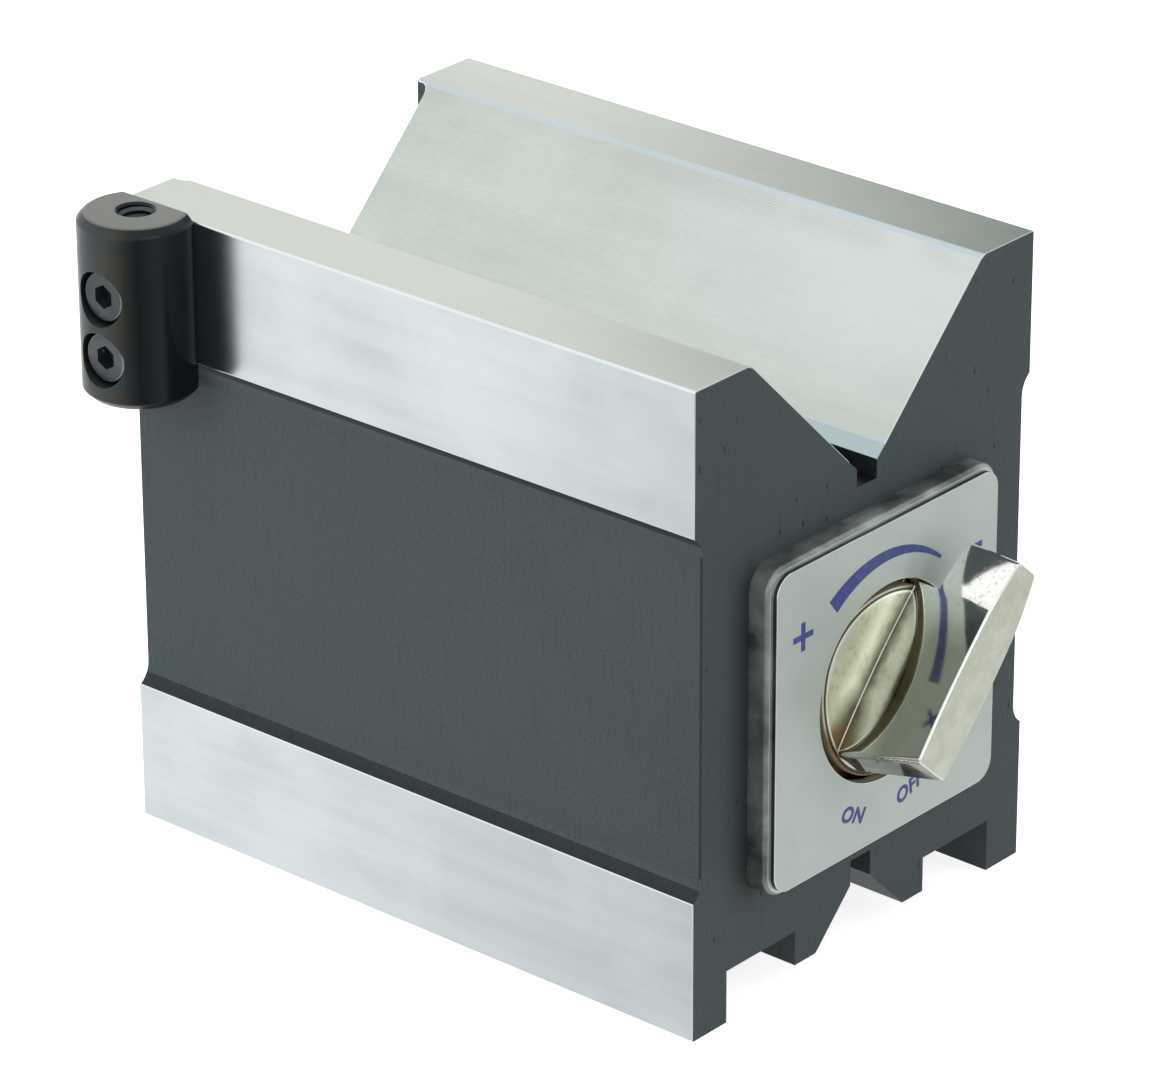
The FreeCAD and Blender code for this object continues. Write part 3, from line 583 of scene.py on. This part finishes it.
def place_piece(shape, name, body, materials, stands_for=()):
    """Turn a bmesh into a finished piece that rides on its body."""
    for face in shape.faces:
        face.smooth = True
    for edge in sharp_edges(shape, least=32.0):
        edge.smooth = False
    mesh = bpy.data.meshes.new(name)
    shape.to_mesh(mesh)
    shape.free()
    for material in materials:
        mesh.materials.append(material)
    piece = bpy.data.objects.new(name, mesh)
    scene.collection.objects.link(piece)
    weighted = piece.modifiers.new("even_shading", "WEIGHTED_NORMAL")
    weighted.keep_sharp = True
    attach(piece, body)
    if stands_for:
        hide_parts(*stands_for)
    print(name, "faces:", len(mesh.polygons))


# %% [markdown]
# Each half of the block is painted, and then its working faces are ground back to bare steel.
# The copy is sorted face by face, by where a face lies and which way it looks.


# %% Sort the faces of the two halves
POLE_FINISHES = [paint, shaded_paint, side_steel, top_steel, vee_steel, root_reflection_steel, chamfer_reflection_steel,
                 bright_edge]
PAINTED, SHADED, SIDE, TOP, VEE, ROOT, CHAMFER, EDGE = range(len(POLE_FINISHES))
# All in mm: the block's outside, the V's root with the narrow band above it that gets the painted reflection,
# and the hollows.
HALF_WIDTH, HALF_LENGTH, BLOCK_HEIGHT = 35.0, 50.0, 93.0
VEE_BOTTOM, ROOT_BAND_TOP = 70.9, 72.7
SLOT_REACH, RECESS_FLOOR = 2.8, 33.3
AXIS_HEIGHT, BORE_REACH = 41.0, 18.3


def from_axis(middle):
    """How far a place in mm is from the axis of the bore and the knob."""
    return math.hypot(middle.x, middle.z - AXIS_HEIGHT)


def pole_finish(face):
    """Which finish a face of the block has, from its place in mm and from where it looks."""
    middle = face.calc_center_median() / MM
    looks = face.normal
    from_side = HALF_WIDTH - abs(middle.x)
    if middle.z > BLOCK_HEIGHT - 0.1 and looks.z > 0.9:
        return TOP
    # The outer chamfers along the top and the bottom of the sides get the painted highlight.
    if from_side < 0.4 and abs(looks.z) > 0.5 and not 0.5 < middle.z < BLOCK_HEIGHT - 0.5:
        return EDGE
    if middle.z > VEE_BOTTOM and looks.z > 0.55 and abs(looks.x) > 0.55:
        return ROOT if middle.z < ROOT_BAND_TOP else VEE
    if middle.z > BLOCK_HEIGHT - 2.0 and looks.z > 0.3:
        return CHAMFER
    on_foot = middle.z < 0.05 and looks.z < -0.9
    on_back_pad = middle.y > HALF_LENGTH - 0.1 and looks.y > 0.9
    if from_side < 0.05 and abs(looks.x) > 0.9 or on_foot or on_back_pad:
        return SIDE
    # The corners of the side hollows and the walls of the middle slot get the darker paint as painted shade.
    in_recess_corner = abs(middle.x) > RECESS_FLOOR and abs(looks.z) > 0.42 and 20.0 < middle.z < 73.0
    on_slot_wall = abs(middle.x) < SLOT_REACH and abs(looks.x) > 0.9
    if in_recess_corner or on_slot_wall:
        return SHADED
    in_bore = from_axis(middle) < BORE_REACH and abs(looks.y) < 0.1
    return TOP if in_bore else PAINTED


# %% Dress the two halves
GROUND_EDGE_WIDTH, RECESS_CORNER_WIDTH = 0.12, 0.45


def dress_pole(node):
    """Part off the band at the V's root, sort the faces, and break the edges that were ground."""
    shape = merged_copy(node)
    flank = [face for face in shape.faces if pole_finish(face) == VEE]
    flank_parts = flank + list({edge for face in flank for edge in face.edges})
    bmesh.ops.bisect_plane(shape, geom=flank_parts, plane_co=(0.0, 0.0, ROOT_BAND_TOP * MM),
                           plane_no=(0.0, 0.0, 1.0))
    sort_faces(shape, pole_finish)

    def is_ground(edge):
        """Whether this edge is ground and gets the painted highlight. The slot in the middle and the V's root
        get none.
        """
        finishes = {face.material_index for face in edge.link_faces}
        at_slot = max(abs(vertex.co.x) for vertex in edge.verts) < SLOT_REACH * MM
        return not (finishes <= {PAINTED, SHADED} or ROOT in finishes or EDGE in finishes or at_slot)

    def is_recess_corner(edge):
        """Whether this is the upright corner between the front face and the hollow in the side."""
        return all(abs(abs(vertex.co.x) - RECESS_FLOOR * MM) < 0.01 * MM
                   and vertex.co.y < (0.1 - HALF_LENGTH) * MM for vertex in edge.verts)

    break_edges(shape, sharp_edges(shape, is_ground), GROUND_EDGE_WIDTH, finish=EDGE)
    # The hollow's upright corner is rounded and gets the darker paint as painted shade.
    break_edges(shape, sharp_edges(shape, is_recess_corner), RECESS_CORNER_WIDTH, finish=SHADED)
    place_piece(shape, f"{node}_finished", "block", POLE_FINISHES, [node])


dress_pole("left_pole")
dress_pole("right_pole")

# %% [markdown]
# The other parts get finishes of their own: nickel, black oxide, dull steel, steel painted lighter for
# highlights and darker for shade, brass, bronze and rubber. Some of them show only when the block is taken
# apart.


# %% Mix the other metals
def cloudy_tone(tree, smudge, low, high):
    """Two tones in soft clouds."""
    return blend_colours(tree, remap(tree, smudge, 0.35, 0.65), low, high)


def cast_relief(tree, grain, strength):
    """The normal of a cast or worn surface. A larger grain makes it finer."""
    skin = place_group(tree, cast_skin, Grain=grain, Pits=0.3)
    return bump(tree, skin["Height"], strength, 0.04)


def metal_material(name, low, high, rough, spread, relief=0.0, grain=900.0, metallic=1.0, scratch=0.0):
    """A metal whose tone and roughness drift with smudges, with an optional relief and scratches."""
    material, tree, shader = plain_material(name)
    marks = place_group(tree, smudges, Size=130.0)
    tone = cloudy_tone(tree, marks["Smudge"], low, high)
    scratched = product(tree, marks["Scratch"], scratch)
    fill_inputs(tree, shader, {
        "Base Color": blend_colours(tree, scratched, tone, (225, 226, 224)),
        "Metallic": metallic,
        "Roughness": uneven(tree, marks["Smudge"], rough - spread / 2, rough + spread / 2),
    })
    if relief:
        fill_inputs(tree, shader, {"Normal": cast_relief(tree, grain, relief)})
    return material


nickel = metal_material("polished_nickel", (206, 211, 198), (220, 224, 213), 0.07, 0.05, 0.04, 260.0)
# A light metal for small rounded edges: a painted highlight on the knob's edges, the lever's root and the
# label's broken edge.
small_edge_highlight = metal_material("small_edge_highlight", (226, 229, 224), (240, 242, 238), 0.2, 0.06)
# The bezel's front faces: worn steel, painted lighter as a highlight.
worn_rim_highlight = metal_material("worn_rim_highlight", (178, 188, 184), (210, 217, 213), 0.36, 0.1, 0.2, 1300.0)
# Dark steel for the label's sides: painted shade of the narrow groove round the label.
label_side_shade = metal_material("label_side_shade", (66, 72, 69), (92, 98, 92), 0.45, 0.1, 0.2)
old_gold = metal_material("gilded_bore", (144, 136, 110), (178, 170, 140), 0.4, 0.1, 0.2, metallic=0.25)
dull_steel = metal_material("dull_steel", (92, 100, 97), (164, 172, 167), 0.42, 0.14, 0.4, 1300.0, 0.8)
oxide_screw = metal_material("oxide_screw", (62, 66, 69), (84, 88, 91), 0.34, 0.08, 0.15, 1500.0, 0.7, 0.6)
brass = metal_material("dull_brass", (68, 64, 52), (90, 84, 68), 0.4, 0.1, 0.2, 800.0)
bronze = metal_material("bronze", (150, 112, 70), (170, 132, 84), 0.35, 0.08)
rubber = metal_material("rubber", (24, 24, 25), (32, 32, 33), 0.6, 0.1, 0.3, metallic=0.0)
bare_iron = metal_material("bare_iron", (150, 150, 148), (172, 172, 170), 0.35, 0.1, 0.1)
print("metals ready:", nickel.name, dull_steel.name, brass.name, bronze.name, bare_iron.name)


# %% Brush the label
def label_material():
    """The label's satin face: very fine lines along the block's width, under soft clouds of handling."""
    material, tree, shader = plain_material("brushed_label")
    smudge = place_group(tree, smudges, Size=90.0)["Smudge"]
    lines = noise(tree, stretched(tree, object_place(tree), (60.0, 1.0, 4200.0)), detail=1.0)
    tone = cloudy_tone(tree, smudge, (178, 189, 185), (188, 197, 192))
    fill_inputs(tree, shader, {
        "Base Color": blend_colours(tree, remap(tree, lines, 0.3, 0.7, 0.0, 0.12), tone, (172, 183, 179)),
        "Metallic": 0.4,
        "Roughness": uneven(tree, smudge, 0.38, 0.46),
        "Normal": bump(tree, lines, 0.1, 0.01),
    })
    return material


brushed_label = label_material()
print("label ready:", brushed_label.name)

# %% [markdown]
# Every CAD mesh gets one finish. For the pieces that keep their CAD form, that is all they need.

# %% Give every node a finish
FINISHES = {
    "upper_separator": brass, "lower_separator": brass,
    "front_bezel": dull_steel, "label_plate": brushed_label, "rear_cover": paint,
    "front_bush": bronze, "rear_bush": bronze, "thrust_washer": bare_iron, "stop_pin": bare_iron,
    "seal_ring": rubber, "drive_disc": bare_iron, "rear_disc": bare_iron,
    "lower_rotor_shoe": bare_iron, "upper_rotor_shoe": bare_iron, "magnet_bar": bare_iron,
}
for name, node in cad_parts.items():
    finish = FINISHES.get(name, oxide_screw if "screw" in name else nickel)
    node.data.materials.clear()
    node.data.materials.append(finish)
print("nodes dressed:", len(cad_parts))

# %% [markdown]
# The bezel holds the knob in, and the label lies on it.
# The bezel's front rim is worn, and painted lighter as a highlight. The label's sides are painted dark as the
# shade of the groove round it, its fine edge has a painted highlight, and the hole round the knob has a
# golden tint.

# %% Dress the bezel and the label
KNOB_HOLE_REACH = 14.3
BEZEL_FINISHES = [dull_steel, worn_rim_highlight, old_gold]
LABEL_FINISHES = [brushed_label, label_side_shade, small_edge_highlight, old_gold]


def in_knob_hole(face):
    return abs(face.normal.y) < 0.5 and from_axis(face.calc_center_median() / MM) < KNOB_HOLE_REACH


def bezel_finish(face):
    if face.normal.y < -0.88:
        return BEZEL_FINISHES.index(worn_rim_highlight)
    return BEZEL_FINISHES.index(old_gold if in_knob_hole(face) else dull_steel)


def label_finish(face):
    if abs(face.normal.y) >= 0.5:
        return LABEL_FINISHES.index(brushed_label)
    return LABEL_FINISHES.index(old_gold if in_knob_hole(face) else label_side_shade)


bezel = merged_copy("front_bezel")
sort_faces(bezel, bezel_finish)
place_piece(bezel, "front_bezel_finished", "block", BEZEL_FINISHES, ["front_bezel"])

label = merged_copy("label_plate")
sort_faces(label, label_finish)
break_edges(label, sharp_edges(label), 0.1, finish=LABEL_FINISHES.index(small_edge_highlight))
place_piece(label, "label_plate_finished", "block", LABEL_FINISHES, ["label_plate"])


# %% Dress the separators
SEPARATOR_FINISHES = [brass, paint]


def dress_separator(node):
    """The brass bar shows only in the bottom of the V. Its ends were painted with the block."""
    shape = merged_copy(node)
    sort_faces(shape, lambda face: SEPARATOR_FINISHES.index(paint if abs(face.normal.y) > 0.9 else brass))
    place_piece(shape, f"{node}_finished", "block", SEPARATOR_FINISHES, [node])


dress_separator("upper_separator")
dress_separator("lower_separator")

# %% [markdown]
# The marks on the label are printed in blue: plus on the side that turns the magnet on, minus on the other,
# a wedge over the knob that grows toward plus, and the two words below it.
# Each is a skin of ink a few hundredths of a millimetre thick, flat on the label.


# %% Mix the ink
def ink_material():
    material, tree, shader = plain_material("blue_ink")
    smudge = place_group(tree, smudges, Size=700.0)["Smudge"]
    worn = remap(tree, smudge, 0.5, 0.7, 0.0, 0.35)
    fill_inputs(tree, shader, {
        "Base Color": blend_colours(tree, worn, (48, 62, 126), (104, 116, 156)),
        "Roughness": uneven(tree, smudge, 0.4, 0.55),
    })
    return material


ink = ink_material()
INK_THICKNESS = 0.02 * MM
label_low, label_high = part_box("label_plate")
label_front = label_low.y
knob_centre = Vector((0.0, label_front, (label_low.z + label_high.z) / 2))


def print_shape(shape, name):
    """Stand a flat shape, drawn in X and Y, up on the label's face and give it its ink's thickness."""
    shape.normal_update()
    bmesh.ops.solidify(shape, geom=list(shape.faces), thickness=INK_THICKNESS)
    upright = Matrix.Rotation(math.radians(90.0), 4, "X")
    bmesh.ops.transform(shape, matrix=Matrix.Translation(knob_centre) @ upright, verts=shape.verts)
    bmesh.ops.recalc_face_normals(shape, faces=shape.faces)
    gap = label_front - max(vertex.co.y for vertex in shape.verts)
    bmesh.ops.translate(shape, vec=(0.0, gap, 0.0), verts=shape.verts)
    place_piece(shape, name, "block", [ink])


# %% Print the signs
# In mm: where the signs stand from the knob's centre, how far they reach, and half the width of a stroke.
PLUS_ACROSS, PLUS_REACH = -17.8, 2.05
MINUS_ACROSS, MINUS_REACH = 18.3, 1.64
SIGN_UP, SIGN_HALF_STROKE = 13.0, 0.425


def print_sign(name, across, corners):
    """One flat face with these corners, in mm from the sign's own middle."""
    shape = bmesh.new()
    shape.faces.new([shape.verts.new(((across + right) * MM, (SIGN_UP + above) * MM, 0.0))
                     for right, above in corners])
    print_shape(shape, name)


def plus_corners():
    """The twelve corners of a plus, three for each of its arms."""
    near, far = SIGN_HALF_STROKE, PLUS_REACH
    return [(right * along - above * beside, above * along + right * beside)
            for right, above in ((1, 0), (0, 1), (-1, 0), (0, -1))
            for along, beside in ((far, -near), (far, near), (near, near))]


print_sign("plus_sign", PLUS_ACROSS, plus_corners())
print_sign("minus_sign", MINUS_ACROSS, [
    (-MINUS_REACH, -SIGN_HALF_STROKE), (MINUS_REACH, -SIGN_HALF_STROKE),
    (MINUS_REACH, SIGN_HALF_STROKE), (-MINUS_REACH, SIGN_HALF_STROKE),
])

# %% Print the wedge over the knob
# The radius and the thickness are in mm, and the two ends in degrees round the knob's centre.
WEDGE_RADIUS, WEDGE_THICK, WEDGE_THIN = 17.6, 2.6, 0.5
WEDGE_START, WEDGE_END, WEDGE_STEPS = 128.0, 52.0, 40


def print_wedge():
    """A short radial line swept round the knob's centre, then drawn in toward the thin end."""
    shape = bmesh.new()
    start = math.radians(WEDGE_START)
    sweep = math.radians(WEDGE_START - WEDGE_END)
    ends = [shape.verts.new((math.cos(start) * radius * MM, math.sin(start) * radius * MM, 0.0))
            for radius in (WEDGE_RADIUS, WEDGE_RADIUS + WEDGE_THICK)]
    line = shape.edges.new(ends)
    bmesh.ops.spin(shape, geom=[*ends, line], cent=(0.0, 0.0, 0.0), axis=(0.0, 0.0, 1.0), angle=-sweep,
                   steps=WEDGE_STEPS)
    for vertex in shape.verts:
        reach = vertex.co.length / MM
        if reach > WEDGE_RADIUS + WEDGE_THICK / 2:
            done = (start - math.atan2(vertex.co.y, vertex.co.x)) / sweep
            thickness = WEDGE_THICK + (WEDGE_THIN - WEDGE_THICK) * done
            vertex.co *= (WEDGE_RADIUS + thickness) / reach
    print_shape(shape, "strength_wedge")


print_wedge()

# %% Print the words
# In mm: how far the words are from the knob's centre, and how tall. A capital fills 0.69 of its size.
WORD_RADIUS, WORD_HEIGHT, CAPITAL_SHARE = 18.6, 2.1, 0.69
WORD_SLANT, WORD_SPACING, WORD_BOLD = 0.15, 1.08, 0.12 * MM


def print_word(word, name, angle):
    """A word whose middle lies at this angle, in degrees round the knob's centre."""
    letters = bpy.data.curves.new(name, "FONT")
    letters.body = word
    letters.size = WORD_HEIGHT / CAPITAL_SHARE * MM
    letters.align_x = "CENTER"
    letters.align_y = "CENTER"
    letters.shear = WORD_SLANT
    letters.space_character = WORD_SPACING
    letters.offset = WORD_BOLD
    shown = bpy.data.objects.new(name, letters)
    scene.collection.objects.link(shown)
    flat = bpy.data.meshes.new_from_object(shown.evaluated_get(bpy.context.evaluated_depsgraph_get()))
    shape = bmesh.new()
    shape.from_mesh(flat)
    bpy.data.objects.remove(shown)
    bmesh.ops.remove_doubles(shape, verts=shape.verts, dist=1e-7)
    bearing = math.radians(angle)
    turn = Matrix.Rotation(bearing + math.radians(90.0), 4, "Z")
    along = Vector((math.cos(bearing), math.sin(bearing), 0.0)) * WORD_RADIUS * MM
    bmesh.ops.transform(shape, matrix=Matrix.Translation(along) @ turn, verts=shape.verts)
    print_shape(shape, name)


print_word("ON", "word_on", -112.0)
print_word("OFF", "word_off", -74.0)

# %% [markdown]
# The knob is one casting. Its lever is polished like a mirror, and the disc that it stands on keeps a
# softer, cast shine.
# Painted shade lies along the foot of the lever and round the rim of the disc, so both finishes ask where a
# spot is: how far from the knob's centre, how far beside the lever's long axis, and how far along it.


# %% Measure places on the knob
LEVER_AXIS = Vector((0.669, 0.0, 0.743))
ACROSS_LEVER = Vector((-0.743, 0.0, 0.669))


def knob_places_group():
    """Places on the knob in mm: the radius, the way beside and along the lever's axis, and Y."""
    group, _, result = new_group("knob_places", (), ("Radius", "Beside", "Along", "Y"))
    in_mm = vector_math(group, "MULTIPLY", object_place(group), Vector((1.0, 1.0, 1.0)) / MM)
    centred = vector_math(group, "ADD", in_mm, (0.0, 0.0, -AXIS_HEIGHT))
    flat = vector_math(group, "MULTIPLY", centred, (1.0, 0.0, 1.0))
    fill_inputs(group, result, {
        "Radius": vector_math(group, "LENGTH", flat),
        "Beside": math_node(group, "ABSOLUTE", vector_math(group, "DOT_PRODUCT", centred, ACROSS_LEVER)),
        "Along": vector_math(group, "DOT_PRODUCT", centred, LEVER_AXIS),
        "Y": coordinates(group, centred)["Y"],
    })
    return group


def ragged(tree, value, smudge, reach):
    """A measured value shifted by smudges, so that a border drawn with it wanders over this reach."""
    shift = product(tree, math_node(tree, "SUBTRACT", smudge, 0.5), reach)
    return math_node(tree, "ADD", value, shift)


def ring(tree, radius, rise, fall, level, outside=0.0):
    """A ring on the disc: its level rises over one span of the radius and falls over another."""
    return product(tree, remap(tree, radius, *rise, 0.0, level), remap(tree, radius, *fall, 1.0, outside))


knob_places = knob_places_group()
print("places measured by:", knob_places.name)


# %% Mix the disc's finish
def disc_material():
    """Cast nickel with painted shade and a little rust by the lever's foot, a painted highlight ring and a
    painted shade at the rim.
    """
    material, tree, shader = plain_material("cast_nickel")
    smudge = place_group(tree, smudges, Size=240.0)["Smudge"]
    fine_smudge = place_group(tree, smudges, Size=900.0)["Smudge"]
    where = place_group(tree, knob_places)
    patina = cloudy_tone(tree, smudge, (204, 208, 193), (222, 225, 212))
    stains = remap(tree, fine_smudge, 0.55, 0.7, 0.0, 0.45)
    toward_foot = remap(tree, where["Along"], -3.0, -11.0, 0.0, 2.2)
    from_lever = math_node(tree, "SUBTRACT", ragged(tree, where["Beside"], smudge, 3.0), toward_foot)
    # Painted shade where the disc meets the lever.
    painted_shade = remap(tree, from_lever, 3.6, 7.4, 0.82, 0.0)
    rust = product(tree, remap(tree, where["Along"], -7.5, -10.0, 0.0, 0.9), painted_shade)
    # Both rings lie just inside the disc's rim: the painted highlight of its rounded edge, and the painted
    # shade of the gap round it.
    disc_rim_highlight = ring(tree, where["Radius"], (12.05, 12.25), (12.35, 12.5), 0.8)
    disc_rim_shade = ring(tree, where["Radius"], (12.4, 12.6), (12.75, 12.9), 1.0, 0.2)
    fill_inputs(tree, shader, {
        "Base Color": layered(tree, patina, (stains, (150, 148, 126)), (painted_shade, (98, 92, 72)),
                              (rust, (128, 92, 50)), (disc_rim_highlight, (246, 247, 243)),
                              (disc_rim_shade, (58, 55, 44))),
        "Metallic": 1.0,
        "Roughness": math_node(tree, "ADD", uneven(tree, smudge, 0.17, 0.28), product(tree, painted_shade, 0.1)),
        "Normal": cast_relief(tree, 420.0, 0.2),
    })
    return material


# %% Mix the lever's finish
def lever_material(name, low, high, tip):
    """Mirror nickel: painted shade at the lever's root, the flank painted darker away from the disc, and a
    scuffed tip painted bright as a reflection of the sky.
    """
    material, tree, shader = plain_material(name)
    smudge = place_group(tree, smudges, Size=380.0)["Smudge"]
    fine_smudge = place_group(tree, smudges, Size=1700.0)["Smudge"]
    where = place_group(tree, knob_places)
    # Y runs from -54 mm at the disc to -66.5 mm at the lever's front face.
    flank = remap(tree, where["Y"], -66.45, -66.3)
    # The tip is painted bright as a reflection of the sky, with scuffs over it.
    at_tip = product(tree, remap(tree, where["Along"], 9.0, 14.0), flank)
    away = remap(tree, where["Y"], -57.0, -60.5, 0.1, 0.66)
    darker_flank = product(tree, away, remap(tree, where["Along"], 6.0, 11.0, 1.0, 0.25), flank)
    # Painted shade where the lever rises from the disc.
    painted_shade = remap(tree, ragged(tree, where["Y"], smudge, 2.5), -54.3, -55.4, 0.6, 0.0)
    scuffs = product(tree, remap(tree, fine_smudge, 0.54, 0.68, 0.0, 0.3), at_tip)
    fill_inputs(tree, shader, {
        "Base Color": layered(tree, cloudy_tone(tree, smudge, low, high), (at_tip, tip),
                              (darker_flank, (112, 108, 92)), (painted_shade, (88, 80, 60)), (scuffs, (70, 74, 74))),
        "Metallic": 1.0,
        "Roughness": math_node(tree, "ADD", uneven(tree, smudge, 0.04, 0.1), product(tree, scuffs, 0.3)),
        "Normal": cast_relief(tree, 260.0, 0.05),
    })
    return material


disc_finish = disc_material()
lever_finish = lever_material("mirror_nickel", (202, 207, 190), (218, 222, 206), (250, 251, 248))
foot_finish = lever_material("foot_nickel", (140, 146, 138), (188, 192, 184), (188, 192, 184))
print("knob finishes:", disc_finish.name, lever_finish.name, foot_finish.name)

# %% Dress the knob
# Levels along Y in mm: where the lever ends on the disc, and beyond which its slanted faces get the painted
# highlight.
DISC_LEVEL, EDGE_LEVEL = -54.2, -60.0
KNOB_FINISHES = [lever_finish, disc_finish, small_edge_highlight, old_gold, foot_finish]
LEVER, DISC, BRIGHT, GRIME, FOOT = range(len(KNOB_FINISHES))


def knob_finish(face):
    """Which finish a face of the knob has, from its level and from where it looks."""
    level = face.calc_center_median().y / MM
    if level > DISC_LEVEL:
        return DISC if face.normal.y < -0.5 else GRIME
    if face.normal.dot(LEVER_AXIS) < -0.8:
        return FOOT
    return BRIGHT if level < EDGE_LEVEL and -0.96 < face.normal.y < -0.15 else LEVER


def is_lever_root(edge):
    finishes = {face.material_index for face in edge.link_faces}
    return finishes in ({LEVER, DISC}, {FOOT, DISC})


knob = merged_copy("knob")
sort_faces(knob, knob_finish)
# The lever's root is broken and gets the painted highlight.
break_edges(knob, sharp_edges(knob, is_lever_root), 0.12, finish=BRIGHT)
place_piece(knob, "knob_finished", "rotor", KNOB_FINISHES, ["knob"])

# %% [markdown]
# The post holder is turned and blackened. Its top edge was rounded over, and an M6 thread goes down into it.
# The black bath left a faint olive and blue tint, and on the side away from the block it is painted lighter
# as a sheen.


# %% Blacken the post holder
def blackened_material(name, low, high, rough, ior):
    material, tree, shader = plain_material(name)
    smudge = place_group(tree, smudges, Size=110.0)["Smudge"]
    skin = place_group(tree, cast_skin, Grain=1500.0, Pits=0.3)
    black = blend_colours(tree, skin["Tone"], low, high)
    # Painted sheen: the oxide's olive and blue tint, laid lighter on the side away from the block.
    oxide_tint_sheen = blend_colours(tree, remap(tree, smudge, 0.42, 0.58), (82, 78, 62), (60, 74, 80))
    sheen_side = remap(tree, coordinates(tree, object_place(tree))["X"], -0.0445, -0.049, 0.0, 0.8)
    fill_inputs(tree, shader, {
        "Base Color": blend_colours(tree, sheen_side, black, oxide_tint_sheen),
        "Roughness": uneven(tree, smudge, rough - 0.04, rough + 0.04),
        "IOR": ior,
        "Normal": bump(tree, skin["Height"], 0.15, 0.04),
    })
    return material


black_oxide = blackened_material("black_oxide", (8, 15, 20), (14, 21, 26), 0.24, 1.36)
# A lighter oxide for the holder's flat top: a painted reflection of the bright sky.
top_reflection_oxide = blackened_material("top_reflection_oxide", (66, 70, 64), (84, 87, 80), 0.34, 1.6)
print("blackened:", black_oxide.name, top_reflection_oxide.name)

# %% Dress the post holder
THREAD_AXIS = Vector((-38.8, 43.7)) * MM
MOUTH_REACH = 2.7
# How far below its top, in metres, the holder's top edges end, and its other edges begin.
TOP_EDGES_END, LOWER_EDGES_BEGIN = 1.1 * MM, 1.5 * MM
HOLDER_FINISHES = [black_oxide, top_reflection_oxide]
holder_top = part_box("post_holder")[1].z


def lowest(edge):
    return min(vertex.co.z for vertex in edge.verts)


def highest(edge):
    return max(vertex.co.z for vertex in edge.verts)


def at_thread_mouth(edge):
    return all((vertex.co.xy - THREAD_AXIS).length < MOUTH_REACH * MM for vertex in edge.verts)


def holder_finish(face):
    """The flat top is painted lighter as a reflection of the bright sky, and the rest is black."""
    on_top = face.normal.z > 0.9 and face.calc_center_median().z > holder_top - 0.5 * MM
    return HOLDER_FINISHES.index(top_reflection_oxide if on_top else black_oxide)


def dress_holder():
    """Round the rim, chamfer the thread's mouth, and break the other edges."""
    shape = merged_copy("post_holder")
    near_top = sharp_edges(shape, lambda edge: lowest(edge) > holder_top - TOP_EDGES_END)
    mouth = [edge for edge in near_top if at_thread_mouth(edge)]
    break_edges(shape, [edge for edge in near_top if edge not in mouth], 0.35, 3)
    break_edges(shape, [edge for edge in mouth if edge.is_valid], 0.3, 1)
    lower = sharp_edges(shape, lambda edge: highest(edge) < holder_top - LOWER_EDGES_BEGIN, 40.0)
    break_edges(shape, lower, 0.1)
    sort_faces(shape, holder_finish)
    place_piece(shape, "post_holder_finished", "block", HOLDER_FINISHES, ["post_holder"])


dress_holder()

# %% [markdown]
# The thread is a small triangle spun round the hole's axis while it sinks by one pitch a turn. It starts on
# the side toward the camera, where the hole's own edge hides its blunt beginning.

# %% Cut the thread
THREAD_TURNS, THREAD_STEPS, THREAD_PITCH = 5, 32, 1.0 * MM
THREAD_WALL, THREAD_CREST, THREAD_HALF_BASE = 2.52 * MM, 2.12 * MM, 0.42 * MM


def cut_thread():
    """The thread's crests: a thin triangle spun down the hole as a helix."""
    shape = bmesh.new()
    top = holder_top - 0.5 * MM
    start = Vector((toward_camera.x, toward_camera.y)).normalized()
    corners = [shape.verts.new((*(THREAD_AXIS + start * reach), top + level)) for reach, level in (
        (THREAD_WALL, THREAD_HALF_BASE), (THREAD_CREST, 0.0), (THREAD_WALL, -THREAD_HALF_BASE))]
    sides = [shape.edges.new((corners[place - 1], corners[place])) for place in range(3)]
    bmesh.ops.spin(shape, geom=[*corners, *sides], cent=(*THREAD_AXIS, 0.0), axis=(0.0, 0.0, 1.0),
                   dvec=(0.0, 0.0, -THREAD_PITCH / THREAD_STEPS), angle=math.radians(360.0 * THREAD_TURNS),
                   steps=THREAD_STEPS * THREAD_TURNS)
    bmesh.ops.holes_fill(shape, edges=[edge for edge in shape.edges if edge.is_boundary], sides=3)
    bmesh.ops.recalc_face_normals(shape, faces=shape.faces)
    place_piece(shape, "arm_thread_turns", "block", [oxide_screw])


cut_thread()

# %% Dress the holder's screws
# A lighter finish for the rim of each screw head: a painted highlight.
screw_rim_highlight = metal_material("screw_rim_highlight", (112, 119, 122), (146, 152, 154), 0.26, 0.08, 0.1, 1500.0, 0.8)
SCREW_FINISHES = [oxide_screw, screw_rim_highlight]


def dress_holder_screw(node):
    """A socket screw whose head's rounded rim is painted lighter as a highlight."""
    shape = merged_copy(node)
    low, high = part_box(node)
    radius = (high.z - low.z) / 2
    axis = (low + high) / 2

    def is_head_rim(edge):
        return all((vertex.co.yz - axis.yz).length > radius - 0.05 * MM for vertex in edge.verts)

    break_edges(shape, sharp_edges(shape, is_head_rim), 0.28, 3, SCREW_FINISHES.index(screw_rim_highlight))
    place_piece(shape, f"{node}_finished", "block", SCREW_FINISHES, [node])


dress_holder_screw("post_screw_lower")
dress_holder_screw("post_screw_upper")
